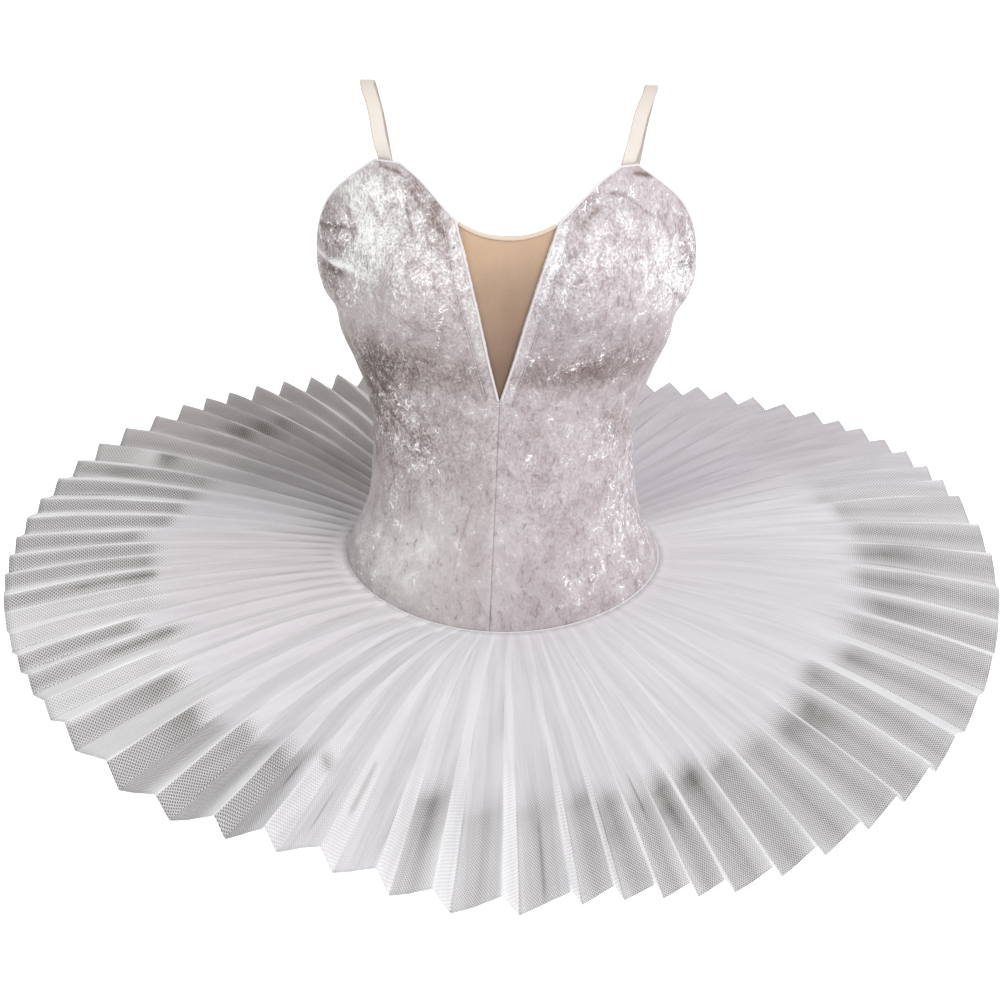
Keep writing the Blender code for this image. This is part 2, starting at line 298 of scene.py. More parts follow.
def velvetMaterial():
    look = velvetLook
    material, tree, shader = newMaterial("crushed_velvet")
    plain = add(tree, "TexCoord").outputs["Object"]
    spot = add(tree, "Mapping", {"Vector": plain, "Scale": look["stretch"]}).outputs[0]
    drift = add(tree, "TexNoise", {"Vector": spot, "Scale": look["warpScale"], "Detail": 3.0})
    shift = add(tree, "VectorMath", {0: drift.outputs["Color"], 1: (0.5, 0.5, 0.5)}, operation="SUBTRACT")
    shift = add(tree, "VectorMath", {0: shift.outputs[0], "Scale": look["warp"]}, operation="SCALE")
    bent = add(tree, "VectorMath", {0: spot, 1: shift.outputs[0]}, operation="ADD").outputs[0]
    tone = add(tree, "Attribute", attribute_name="tone").outputs["Color"]
    tone = add(tree, "SeparateColor", {0: tone})
    light, shine, crushed = tone.outputs

    def cloudy(vector, scale, detail, roughness=0.6, distortion=0.0):
        inputs = {"Vector": vector, "Scale": scale, "Detail": detail, "Roughness": roughness}
        return add(tree, "TexNoise", dict(inputs, Distortion=distortion)).outputs[0]

    def centred(value):
        return maths(tree, "SUBTRACT", value, 0.5)

    # slow change of the nap, puffs of the crush with thin ridges between them, and a fine glitter grain
    cloud = cloudy(spot, look["cloudScale"], 2.0)
    crush = cloudy(bent, look["crushScale"], 5.0, 0.62, 0.9)
    ridge = ranged(tree, maths(tree, "ABSOLUTE", centred(crush)), 0.0, 0.035, 1.0, 0.0)
    grain = cloudy(bent, look["grainScale"], 2.0, 0.7)
    nap = cloudy(plain, look["napScale"], 1.0)

    share = look["shares"]
    swing = maths(tree, "MULTIPLY_ADD", ridge, share["ridge"], centred(crush))
    swing = maths(tree, "MULTIPLY_ADD", centred(grain), share["grain"], swing)
    lie = maths(tree, "MULTIPLY_ADD", swing, crushed, light)
    lie = maths(tree, "MULTIPLY_ADD", centred(cloud), share["cloud"], lie)
    lie = maths(tree, "MULTIPLY_ADD", centred(crush), share["crush"], lie)
    lie = maths(tree, "MULTIPLY_ADD", centred(nap), share["nap"], lie, clamp=True)
    ramp = add(tree, "ValToRGB", {0: lie})
    stops = ramp.color_ramp.elements
    while len(stops) < len(look["ramp"]):
        stops.new(0.5)
    for stop, (point, colour) in zip(stops, look["ramp"]):
        stop.position = point
        stop.color = colour

    # short darker dashes, and white painted highlights on bright broken cracks where the cloth shines
    long = add(tree, "Mapping", {"Vector": bent, "Scale": look["dashScale"]}).outputs[0]
    dash = ranged(tree, cloudy(long, 1.0, 2.0), 0.58, 0.65)
    dash = maths(tree, "MULTIPLY", dash, ranged(tree, crush, 0.50, 0.42))
    colour = colourMix(tree, maths(tree, "MULTIPLY", dash, share["dash"]), ramp.outputs[0], look["dash"])
    crack = maths(tree, "ABSOLUTE", centred(cloudy(bent, look["crackScale"], 2.0, 0.5, 1.4)))
    crack = ranged(tree, crack, 0.010, 0.030, 1.0, 0.0)
    broken = ranged(tree, cloudy(plain, look["breakScale"], 1.0), 0.42, 0.50)
    field = maths(tree, "ADD", ranged(tree, crush, 0.42, 0.62, -0.5, 0.3), shine)
    glint = maths(tree, "MULTIPLY", crack, ranged(tree, field, 0.20, 0.42), clamp=True)
    glint = maths(tree, "MULTIPLY", glint, broken)
    colour = colourMix(tree, glint, colour, look["glint"])
    # one side of the front is a little warmer, the other a little more lilac
    across = add(tree, "SeparateXYZ", {0: plain}).outputs[0]
    tint = colourMix(tree, ranged(tree, across, -0.05, 0.03), look["warm"], look["cool"])
    colour = colourMix(tree, 1.0, colour, tint, "MULTIPLY")
    tree.links.new(colour, shader.inputs["Base Color"])

    tree.links.new(ranged(tree, glint, 0, 1, 0.62, 0.35), shader.inputs["Roughness"])
    relief = look["relief"]
    height = maths(tree, "MULTIPLY", crush, relief["crush"])
    height = maths(tree, "MULTIPLY_ADD", ridge, relief["ridge"], height)
    height = maths(tree, "MULTIPLY_ADD", grain, relief["grain"], height)
    height = maths(tree, "MULTIPLY", height, maths(tree, "MULTIPLY_ADD", crushed, 0.8, 0.2))
    height = maths(tree, "MULTIPLY_ADD", dash, relief["dash"], height)
    bump = add(tree, "Bump", {"Height": height, "Strength": 0.6, "Distance": 3 * mm})
    tree.links.new(bump.outputs[0], shader.inputs["Normal"])
    shader.inputs["Sheen Weight"].default_value = 0.22
    shader.inputs["Sheen Roughness"].default_value = 0.35
    shader.inputs["Sheen Tint"].default_value = (0.95, 0.93, 0.95, 1)
    shader.inputs["Specular IOR Level"].default_value = 0.35
    return material


def clothMaterial(name, colour, dark, weave, roughness=0.7, ribs=0, sheen=0.2):
    # a smooth stretch cloth: fine weave, or ribs along it, and a slow change of colour
    material, tree, shader = newMaterial(name)
    spot = add(tree, "TexCoord").outputs["UV" if ribs else "Object"]
    slow = add(tree, "TexNoise", {"Vector": spot, "Scale": 14.0, "Detail": 2.0}).outputs[0]
    fine = add(tree, "TexNoise", {"Vector": spot, "Scale": weave, "Detail": 1.0}).outputs[0]
    tone = add(tree, "Attribute", attribute_name="tone").outputs["Color"]
    tone = add(tree, "SeparateColor", {0: tone}).outputs[0]
    height = fine
    if ribs:
        height = add(
            tree, "TexWave", {"Vector": spot, "Scale": ribs, "Distortion": 0.0}, bands_direction="X"
        ).outputs["Fac"]
    share = maths(tree, "MULTIPLY_ADD", maths(tree, "SUBTRACT", slow, 0.5), 0.5, tone)
    share = maths(tree, "MULTIPLY_ADD", maths(tree, "SUBTRACT", height, 0.5), 0.3, share, clamp=True)
    tree.links.new(colourMix(tree, share, dark, colour), shader.inputs["Base Color"])
    bump = add(tree, "Bump", {"Height": height, "Strength": 0.35, "Distance": 0.4 * mm})
    tree.links.new(bump.outputs[0], shader.inputs["Normal"])
    shader.inputs["Roughness"].default_value = roughness
    shader.inputs["Sheen Weight"].default_value = sheen
    shader.inputs["Sheen Roughness"].default_value = 0.5
    return material


def netMaterial(name, look):
    # hexagonal net: two offset grids of round holes; tone gives white, dense and painted-shade dark places
    material, tree, shader = newMaterial(name)
    spot = add(tree, "UVMap", uv_map="cloth").outputs[0]
    grid = add(tree, "VectorMath", {0: spot, "Scale": 1 / look["cell"]}, operation="SCALE").outputs[0]
    rowStep = 3**0.5  # rows of a hexagonal pattern, in cells
    size = (1, rowStep, 1)
    holes = []
    for offset in ((0, 0, 0.5), (0.5, rowStep / 2, 0.5)):
        moved = add(tree, "VectorMath", {0: grid, 1: offset}, operation="ADD").outputs[0]
        cell = add(tree, "VectorMath", {0: moved, 1: size, 2: (0, 0, 0)}, operation="WRAP").outputs[0]
        flat = add(tree, "VectorMath", {0: cell, 1: (1, 1, 0)}, operation="MULTIPLY").outputs[0]
        middle = add(tree, "VectorMath", {0: flat, 1: (0.5, rowStep / 2, 0)}, operation="SUBTRACT")
        length = add(tree, "VectorMath", {0: middle.outputs[0]}, operation="LENGTH")
        holes.append(length.outputs["Value"])
    nearest = maths(tree, "MINIMUM", *holes)
    tone = add(tree, "Attribute", attribute_name="tone").outputs["Color"]
    tone = add(tree, "SeparateColor", {0: tone})
    white, dense, dark = tone.outputs
    shade = add(tree, "Attribute", attribute_name="tone").outputs["Alpha"]

    spread = add(tree, "Mapping", {"Vector": spot, "Scale": (160, 7, 1)}).outputs[0]
    streak = {"Vector": spread, "Scale": 1.0, "Detail": 4.0, "Roughness": 0.6}
    streak = add(tree, "TexNoise", streak).outputs[0]
    plain = add(tree, "TexCoord").outputs["Object"]
    cloud = add(tree, "TexNoise", {"Vector": plain, "Scale": 26.0, "Detail": 3.0}).outputs[0]

    open_ = maths(tree, "SUBTRACT", look["hole"], maths(tree, "MULTIPLY", dense, look["hole"] * 0.8))
    thread = maths(tree, "DIVIDE", maths(tree, "SUBTRACT", nearest, open_), 0.09, clamp=True)
    gloom = maths(tree, "MULTIPLY", dark, ranged(tree, cloud, 0.34, 0.58, 0.5, 1.0), clamp=True)
    gloom = maths(tree, "MULTIPLY", gloom, look["gloom"])
    holeShadeFilm = colourMix(tree, gloom, look["holeShadeFilm"], look["paintedShade"])
    thin = colourMix(tree, dense, look["thread"], look["dense"])
    holeShadeFilm = colourMix(tree, dense, holeShadeFilm, look["dense"])
    thin = colourMix(tree, gloom, thin, look["shadedThread"])
    body = colourMix(tree, thread, holeShadeFilm, thin)
    body = colourMix(tree, white, body, look["white"])
    streaks = ranged(tree, streak, 0.30, 0.62, look["streak"], 1.0)
    streaks = add(tree, "CombineColor", {0: streaks, 1: streaks, 2: streaks}).outputs[0]
    body = colourMix(tree, 1.0, body, streaks, "MULTIPLY")
    # painted shade where the tone's alpha is below 1, warmer towards the wearer's right
    across = add(tree, "SeparateXYZ", {0: plain}).outputs[0]
    shadeTint = colourMix(tree, ranged(tree, across, -0.05, 0.10), look["shadeTint"], look["coolShadeTint"])
    shadeTint = colourMix(tree, 1.0, body, shadeTint, "MULTIPLY")
    tree.links.new(colourMix(tree, shade, shadeTint, body), shader.inputs["Base Color"])

    clear = maths(tree, "MULTIPLY_ADD", dense, 1 - look["filmAlpha"], look["filmAlpha"])
    clear = maths(tree, "MULTIPLY_ADD", gloom, 0.35, clear, clamp=True)
    clear = maths(tree, "MAXIMUM", clear, maths(tree, "MULTIPLY", white, 0.9))
    cover = maths(tree, "MAXIMUM", maths(tree, "MULTIPLY", thread, look["threadAlpha"]), clear, clamp=True)
    fading = maths(tree, "MULTIPLY_ADD", dark, look["gloom"] - 1, 1.0, clamp=True)
    cover = maths(tree, "MULTIPLY", cover, fading)
    tree.links.new(cover, shader.inputs["Alpha"])
    bump = add(tree, "Bump", {"Height": streak, "Strength": 0.4, "Distance": 1.5 * mm})
    tree.links.new(bump.outputs[0], shader.inputs["Normal"])
    shader.inputs["Roughness"].default_value = 0.75
    shader.inputs["Specular IOR Level"].default_value = 0.25
    shader.inputs["Sheen Weight"].default_value = 0.15
    return material


topNetLook = dict(
    cell=2.15 * mm,
    hole=0.38,
    thread=(0.73, 0.72, 0.725, 1),
    shadedThread=(0.36, 0.335, 0.32, 1),
    dense=(0.642, 0.620, 0.646, 1),
    white=(0.82, 0.81, 0.82, 1),
    # the holes carry a film; on the top layer it is grey, painted shade of what shows through the net
    holeShadeFilm=(0.235, 0.218, 0.212, 1),
    # the deepest painted shade in the holes
    paintedShade=(0.048, 0.043, 0.042, 1),
    shadeTint=(0.535, 0.482, 0.425, 1),  # painted shade on the far side of the skirt at the wearer's right
    coolShadeTint=(0.452, 0.41, 0.444, 1),  # and at the left
    filmAlpha=0.80,
    threadAlpha=0.98,
    streak=0.88,
    gloom=1.0,  # 1 where the dark places darken the net as painted shade, 0 where they let it fade out
)
underNetLook = dict(
    topNetLook, holeShadeFilm=(0.60, 0.59, 0.61, 1), filmAlpha=0.95, thread=(0.70, 0.69, 0.71, 1), gloom=0.0
)

velvet = velvetMaterial()
insertCloth = clothMaterial("insert_mesh", (0.71, 0.50, 0.335, 1), (0.20, 0.115, 0.075, 1), 1500.0, 0.55)
elasticCloth = clothMaterial(
    "ribbed_elastic", (0.75, 0.705, 0.65, 1), (0.60, 0.50, 0.41, 1), 900.0, 0.6, ribs=260.0
)
bindingCloth = clothMaterial("binding_elastic", (0.93, 0.86, 0.78, 1), (0.66, 0.54, 0.44, 1), 1200.0, 0.5)
edgeCloth = clothMaterial(
    "edge_velvet", (0.97, 0.96, 0.97, 1), (0.68, 0.64, 0.66, 1), 900.0, 0.5, sheen=0.6
)
threadCloth = clothMaterial("sewing_thread", (0.90, 0.885, 0.90, 1), (0.7, 0.67, 0.69, 1), 2500.0, 0.45)
topNet = netMaterial("pleated_net", topNetLook)
underNet = netMaterial("under_net", underNetLook)
print("materials made")


# Bodice: the trims that lie on it, then its panels
trimForm = dict(radius=1.0 * mm, flat=0.85, steps=120, inset=0.007, hemRadius=0.8 * mm, hemDrop=0.1 * mm,
                stitch=2.3 * mm, pitch=3.2 * mm, threadRadius=0.24 * mm, bandWidth=8.6, tack=5.5 * mm)
frontForm = dict(
    columns=132, lowRows=104, highRows=128, thickness=1.4 * mm, crush=0.42 * mm, edgeRoll=0.5 * mm,
    seamRoll=0.3 * mm, seamGap=0.05 * mm, lowWidth=190, highWidth=150,
)
frontEdges = columnsOf(
    "step neckX neckZ armAngle armZ",
    [
        (step, x * mm, z * mm, math.radians(angle), arm * mm)
        for step, x, z, angle, arm in (
            (0, 0, -262.5, 90, -270), (1, 11.5, -217, 90, -240), (2, 21, -174, 90, -212),
            (3, 32.5, -129, 90, -188), (3.75, 40.7, -101.7, 86.2, -167), (4, 43.5, -92.6, 84.5, -160),
            (4.25, 46.1, -90.1, 83.4, -154), (5, 54, -82.4, 80, -136), (6, 66, -70.5, 73, -113),
            (7, 79, -59.2, 62, -86), (8, 95, -49, 41.2, -49),
        )
    ],
)
insertStep, strapStep = 4, 8
# Creases pressed into the velvet: middle x z, length, lean from level in degrees, width, height
creases = columnsOf(
    "x z length lean width height",
    [
        (-153, -149, 30, -2, 2.4, 5.2), (-152, -157, 34, 1, 3.2, -4.6), (-152, -141, 28, -8, 3.0, -2.2),
        (-150, -117, 26, 12, 2.8, -3.0), (-152, -110, 28, 16, 3.4, 2.2), (-156, -128, 22, 20, 3.0, 1.2),
        (-140, -173, 40, 62, 4.5, -1.5), (163, -122, 26, 70, 2.8, -2.6), (160, -132, 30, 76, 3.0, 2.8),
        (155, -140, 34, 84, 3.0, -2.8), (150, -148, 36, 90, 3.2, 2.6), (144, -156, 30, 98, 3.2, -2.2),
        (158, -164, 26, 110, 3.2, 2.2), (-97, -62, 26, -4, 2.2, 1.6), (-90, -58, 18, -24, 2.0, -2.2),
        (-88, -84, 44, 100, 1.8, -1.8), (-76, -88, 50, 128, 2.6, -1.7), (-113, -112, 36, 84, 2.6, -1.6),
        (-106, -108, 30, 86, 3.0, 1.2), (-128, -98, 26, 80, 2.6, -1.3), (92, -70, 24, 20, 2.2, -2.0),
        (98, -66, 22, 6, 2.0, 1.4), (104, -84, 40, 84, 3.0, 1.2), (120, -84, 40, 56, 2.6, -1.3),
        (78, -86, 44, 52, 2.6, -1.4), (-120, -262, 60, 66, 3.4, -1.3), (-110, -276, 70, 62, 3.6, 1.2),
        (-100, -250, 60, 58, 3.2, -1.1), (-88, -262, 44, 40, 3.4, -0.9), (-104, -320, 60, 96, 3.0, -0.7),
        (-80, -345, 50, 64, 3.0, 0.6), (-34, -330, 70, 70, 2.0, -0.5), (-28, -395, 70, 76, 1.2, -0.7),
        (-70, -418, 80, 100, 2.4, 0.4), (112, -380, 70, 70, 3.2, 0.8), (96, -410, 60, 112, 3.0, -0.7),
        (104, -432, 54, 78, 2.6, 0.7), (84, -300, 60, 100, 3.0, -0.6), (60, -360, 70, 94, 2.6, -0.4),
        (70, -236, 60, 10, 6.0, -0.4), (-56, -238, 60, -12, 6.0, -0.5),
    ],
)
# The nap in general, and places on the front with painted shade (under the bust), painted light (on the
# cups),
# painted glints or more crush: x z, then its reach across and up
napBase = dict(light=0.59, glint=0.0, crushed=0.19)
lightShadeAndCrushPlaces = columnsOf(
    "x z wide high light glint crushed",
    [
        (-100, -234, 44, 17, -0.30, 0.0, 0.45), (-118, -262, 20, 34, -0.22, 0.1, 0.45),
        (-40, -240, 44, 18, -0.18, 0.0, 0.05), (62, -236, 56, 18, -0.32, 0.15, 0.20),
        (112, -226, 24, 22, -0.18, 0.2, 0.2), (-124, -290, 18, 50, -0.20, 0.2, 0.45),
        (-98, -296, 24, 46, -0.06, 0.2, 0.3), (-110, -118, 56, 52, 0.18, 0.42, 0.32),
        (-122, -100, 24, 50, 0.12, 0.1, 0.10), (-40, -140, 34, 50, 0.02, 0.1, 0.25),
        (-92, -70, 40, 18, 0.08, 0.0, 0.10), (100, -116, 66, 54, 0.12, 0.30, 0.22),
        (-62, -112, 30, 40, 0.05, 0.0, 0.0), (40, -150, 34, 44, 0.03, 0.1, 0.25),
        (-160, -112, 15, 18, -0.30, 0.2, 0.35), (-158, -134, 14, 12, -0.26, 0.4, 0.45),
        (-158, -178, 14, 26, -0.24, 0.7, 0.5), (-153, -149, 22, 3.4, 0.48, 0.1, -0.3),
        (-156, -158, 22, 4.5, -0.30, 0.1, 0.0), (153, -163, 22, 32, 0.26, 0.95, 0.50),
        (76, -172, 26, 22, -0.05, 0.0, 0.0), (-62, -205, 40, 22, -0.03, 0.0, 0.05),
        (30, -330, 34, 60, -0.02, 0.1, 0.10), (-60, -300, 30, 40, -0.02, 0.1, 0.10),
        (60, -395, 30, 40, -0.02, 0.0, 0.08), (-104, -440, 46, 40, 0.14, 0.0, 0.0),
        (-70, -410, 34, 46, 0.06, 0.0, 0.0), (-92, -300, 30, 46, -0.03, 0.0, 0.14),
        (-70, -345, 30, 30, -0.02, 0.0, 0.10), (168, -140, 10, 30, -0.25, 0.4, 0.4),
        (-60, -86, 8, 26, -0.22, 0.1, 0.3), (-74, -68, 8, 16, -0.22, 0.0, 0.2),
        (70, -76, 12, 16, -0.16, 0.0, 0.2), (112, -385, 24, 52, 0.04, 0.55, 0.18),
        (82, -436, 26, 26, 0.02, 0.30, 0.08), (98, -305, 14, 26, -0.05, 0.30, 0.25),
        (-72, -318, 10, 24, 0.0, 0.25, 0.25), (-100, -372, 12, 44, 0.0, 0.15, 0.15),
        (-124, -440, 12, 20, 0.04, 0.50, 0.05), (0, -420, 90, 70, 0.05, -0.2, -0.10),
        (-90, -440, 50, 60, 0.08, 0.0, -0.08), (-30, -290, 60, 50, 0.03, 0.0, 0.05),
    ],
)
# Bright strokes where the nap catches the light: from x z to x z, and how far they reach to each side
glintStrokes = columnsOf(
    "x1 z1 x2 z2 wide deep",
    [
        (124, -330, 112, -362, 4, 0.95), (118, -350, 114, -380, 4, 0.95), (114, -372, 96, -396, 4, 0.95),
        (106, -380, 110, -400, 3, 0.95), (100, -392, 84, -404, 3, 0.95), (126, -366, 128, -400, 3, 0.95),
        (118, -392, 112, -410, 3, 0.95), (104, -420, 112, -446, 4, 0.95), (112, -446, 118, -470, 3, 0.95),
        (90, -436, 78, -462, 4, 0.95), (124, -444, 136, -470, 3, 0.95), (136, -426, 146, -432, 3, 0.95),
        (58, -436, 66, -452, 4, 0.95), (96, -296, 100, -322, 3, 0.95), (82, -326, 96, -322, 3, 0.95),
        (-74, -318, -84, -338, 4, 0.95), (-70, -322, -52, -348, 3, 0.95), (-96, -366, -104, -388, 2, 0.95),
        (-104, -396, -92, -402, 2, 0.95), (-136, -430, -120, -458, 3, 0.95),
        (158, -128, 146, -176, 6, 0.95), (170, -140, 156, -150, 5, 0.95), (150, -150, 150, -190, 5, 0.95),
        (-140, -112, -134, -176, 5, 0.95), (-52, -166, -58, -214, 2, 0.95), (52, -140, 72, -150, 2, 0.95),
        (60, -122, 92, -128, 2, 0.95), (-86, -122, -74, -140, 3, 0.95), (-122, -110, -124, -150, 5, 0.95),
    ],
)
# Darker strokes beside them and down the wearer's right side: streaks of the nap, and painted shade
# in small folds by the straps and along the neck edges
streakAndShadeStrokes = columnsOf(
    "x1 z1 x2 z2 wide deep",
    [
        (-126, -244, -104, -272, 2.6, 0.34), (-118, -240, -94, -262, 2.2, 0.30),
        (-128, -262, -110, -286, 2.6, 0.34), (-112, -262, -92, -284, 2.0, 0.30),
        (-122, -290, -106, -306, 2.4, 0.28), (-104, -288, -92, -300, 2.0, 0.28),
        (-124, -322, -116, -344, 1.8, 0.25), (-92, -318, -80, -330, 1.8, 0.25),
        (-98, -352, -106, -374, 1.2, 0.20), (-28, -372, -38, -410, 0.9, 0.20),
        (-38, -410, -42, -430, 0.8, 0.15), (-152, -116, -132, -112, 2.4, 0.34),
        (-166, -122, -150, -116, 3.0, 0.34), (-88, -66, -80, -104, 1.8, 0.30),
        (-86, -66, -52, -104, 2.4, 0.30), (92, -70, 104, -74, 2.0, 0.25), (104, -74, 130, -96, 1.6, 0.18),
        (80, -82, 66, -96, 2.4, 0.25), (-12, -232, -5, -262, 1.2, 0.12), (80, -238, 96, -246, 4.0, 0.12),
        (56, -236, 76, -232, 3.0, 0.10), (-107, -53, -93, -57, 1.8, 0.45), (112, -56, 127, -60, 1.8, 0.50),
        (-138, -96, -133, -122, 1.6, 0.25), (132, -92, 146, -118, 1.6, 0.20),
        (158, -146, 166, -152, 2.0, 0.45), (150, -168, 160, -186, 1.6, 0.40),
    ],
)


def strokeShare(strokes, x, z):
    # what the nearest of the strokes gives at a place in mm
    best = 0.0
    for x1, z1, x2, z2, wide, deep in zip(*strokes.values()):
        if not (min(x1, x2) - 3 * wide < x < max(x1, x2) + 3 * wide):
            continue
        if not (min(z1, z2) - 3 * wide < z < max(z1, z2) + 3 * wide):
            continue
        dx, dz = x2 - x1, z2 - z1
        along = min(max(((x - x1) * dx + (z - z1) * dz) / (dx * dx + dz * dz), 0.0), 1.0)
        best = max(best, deep * bell(math.hypot(x - x1 - dx * along, z - z1 - dz * along), wide))
    return best


def creaseHeight(angle, x, z):
    # sum of the listed creases at a place on the front
    radius = smoothValue(torso, "z", "side", z) * 0.9
    total = 0.0
    for k, length in enumerate(creases["length"]):
        dz = z / mm - creases["z"][k]
        if abs(dz) > length:
            continue
        turn = angle - torsoAngle(creases["x"][k] * mm, creases["z"][k] * mm)
        dx = turn * radius / mm
        if abs(dx) > length:
            continue
        lean = math.radians(creases["lean"][k])
        along = dx * math.cos(lean) + dz * math.sin(lean)
        off = dz * math.cos(lean) - dx * math.sin(lean)
        off += 1.5 * math.sin(along / 7 + k)
        total += creases["height"][k] * bell(off, creases["width"][k]) * bell(along, length * 0.42)
    return total * mm


def crushHeight(point, amount):
    # soft puffs and folds of crushed cloth
    wide = Vector((point.x * 60, point.y * 60, point.z * 38))
    bent = wide + Vector((noise.noise(wide * 0.7), noise.noise(wide * 0.7 + Vector((7, 3, 1))), 0)) * 0.9
    return amount * (noise.fractal(bent, 0.9, 2.1, 3) - 0.5 * abs(noise.noise(bent * 1.7)))


@functools.lru_cache(maxsize=None)
def frontEdge(step):
    return {key: smoothValue(frontEdges, "step", key, step) for key in frontEdges}


def frontPoint(side, share, low, step):
    # share runs from centre or neck edge to the side, low from hem to V point, step on up to the strap
    edge = frontEdge(step)
    centreZ = mix(seamZ(0), edge["neckZ"], low)
    start = torsoAngle(max(edge["neckX"], frontForm["seamGap"]) + side * centreX(centreZ), centreZ)
    end = math.pi / 2 - hipSeam["halfGap"] / 0.104
    angle = mix(start, min(edge["armAngle"], end), share)
    z = mix(seamZ(angle), mix(edge["neckZ"], edge["armZ"], share), low)
    return side * angle, z


def frontRow(up):
    rows = up * (frontForm["lowRows"] + frontForm["highRows"])
    low = min(rows / frontForm["lowRows"], 1)
    return low, max(rows - frontForm["lowRows"], 0) / frontForm["highRows"] * strapStep


def fromFrontEdge(share, low):
    # mm from the centre seam or, above it, from the neck edge
    return share * frontForm["lowWidth" if low < 1 else "highWidth"]


def makeFront(side, name):
    def shareOf(across):
        return across if side > 0 else 1 - across

    def surface(across, up):
        return frontPoint(side, shareOf(across), *frontRow(up))

    def place(across, up):
        return torsoPoint(*surface(across, up))

    def relief(across, up, point):
        angle, z = surface(across, up)
        low, step = frontRow(up)
        fromEdge = fromFrontEdge(shareOf(across), low)
        shape = creaseHeight(angle, point.x, z) + crushHeight(point, frontForm["crush"])
        shape *= smoothStep(fromEdge / 9) * smoothStep((1 - shareOf(across)) * 12 + 0.2)
        if low < 1:  # both panels roll in at the centre seam
            shape -= frontForm["seamRoll"] * bell(fromEdge, 1.6)
        else:  # pressed edge and its stitched trough along the V
            shape -= 0.7 * mm * bell(fromEdge - trimForm["bandWidth"], 1.1) * smoothStep((7.2 - step) / 2)
            shape -= frontForm["edgeRoll"] * bell(fromEdge, 1.2)
        return shape

    def paint(across, up, point):
        # the places add painted light, shade and glints to the nap's own tone and crush
        tone = dict(napBase)
        for k, x in enumerate(lightShadeAndCrushPlaces["x"]):
            near = bell(point.x / mm - x, lightShadeAndCrushPlaces["wide"][k])
            near *= bell(point.z / mm - lightShadeAndCrushPlaces["z"][k], lightShadeAndCrushPlaces["high"][k])
            for key in tone:
                tone[key] += lightShadeAndCrushPlaces[key][k] * near
        low, step = frontRow(up)
        fromEdge = fromFrontEdge(shareOf(across), low)
        if low == 1:  # brighter band beside the neck edge, and painted shade in the stitched trough that ends it
            inBand = smoothStep((trimForm["bandWidth"] - fromEdge) / 2) * smoothStep((4.6 - step) / 1.2)
            tone["light"] += 0.10 * inBand - 0.09 * bell(fromEdge - trimForm["bandWidth"], 1.1)
        else:  # pale strip on both sides of the centre seam
            tone["light"] += 0.05 * bell(fromEdge, 7)
        tone["glint"] += strokeShare(glintStrokes, point.x / mm, point.z / mm)
        # streaks of the nap, and painted shade in small folds
        tone["light"] -= strokeShare(streakAndShadeStrokes, point.x / mm, point.z / mm)
        glint, crushed = max(min(tone["glint"], 1.0), 0.0), max(min(tone["crushed"], 1.0), 0.10)
        return tone["light"], glint, crushed, 1

    return makeCloth(
        name,
        frontForm["columns"],
        frontForm["lowRows"] + frontForm["highRows"],
        place,
        velvet,
        dict(thickness=frontForm["thickness"]),
        paint=paint,
        relief=relief,
    )


backForm = dict(columns=132, rows=84, edgeZ=-188 * mm, scoop=52 * mm, thickness=1.4 * mm)


def backEdgeZ(angle):
    return backForm["edgeZ"] - backForm["scoop"] * smoothStep(-math.cos(angle))


def backSurface(across, up):
    gap = hipSeam["halfGap"] / 0.108
    angle = mix(math.pi / 2 + gap, math.pi * 3 / 2 - gap, across)
    return angle, mix(seamZ(angle), backEdgeZ(angle), up)


def makeBack():
    def relief(across, up, point):
        nearSide = smoothStep(min(across, 1 - across) * 14 + 0.1)
        pull = 0.9 * mm * math.sin(across * 34 + 5 * up) * bell(up - 0.45, 0.16)
        return (crushHeight(point, frontForm["crush"]) + pull) * nearSide * smoothStep((1 - up) * 16 + 0.2)

    def paint(across, up, point):
        light = 0.47 - 0.12 * bell(up - 0.5, 0.2) + 0.08 * bell(up - 0.95, 0.2)
        return light + 0.12, 0.45 + 0.35 * math.sin(across * 9 + up * 5), 0.35, 1

    return makeCloth(
        "velvet_back",
        backForm["columns"],
        backForm["rows"],
        lambda across, up: torsoPoint(*backSurface(across, up)),
        velvet,
        dict(thickness=backForm["thickness"]),
        paint=paint,
        relief=relief,
    )


frontRight = makeFront(-1, "velvet_front_right")
frontLeft = makeFront(1, "velvet_front_left")
back = makeBack()
standFor("bodice_front_right")
standFor("bodice_front_left")
standFor("bodice_back")
print("bodice made")


# Turned edges, hem and stitches of the bodice
def edgeRun(side):
    # from the V point up the neck edge, over the top of the cup, round the arm and to the centre back
    places = []
    steps, inset = trimForm["steps"], trimForm["inset"]
    places += [frontPoint(side, inset, 1, k / steps * strapStep) for k in range(steps + 1)]
    places += [frontPoint(side, k / 6, 1, strapStep) for k in range(1, 6)]
    places += [frontPoint(side, 1 - inset, 1, (1 - k / steps) * strapStep) for k in range(steps + 1)
               if (1 - k / steps) * strapStep > 2.95]
    for k in range(2, 60):
        angle = mix(math.pi / 2, math.pi, k / 59)
        places.append((side * angle, backEdgeZ(angle)))
    return places


def makeEdges():
    made = []
    for side, name in ((-1, "edge_right"), (1, "edge_left")):
        places = edgeRun(side)
        outs = [outward(*place) for place in places]
        points = [torsoPoint(*place) - out * 0.15 * mm for place, out in zip(places, outs)]
        made.append(makeTube(name, points, outs, trimForm["radius"], edgeCloth, 8, trimForm["flat"]))
    angles = [fullTurn * k / 160 for k in range(161)]
    outs = [outward(angle, seamZ(angle)) for angle in angles]
    points = [
        torsoPoint(angle, seamZ(angle) - trimForm["hemDrop"]) + out * 0.2 * mm
        for angle, out in zip(angles, outs)
    ]
    made.append(makeTube("hem_edge", points, outs, trimForm["hemRadius"], threadCloth, 8, 0.9, closed=True))
    return made


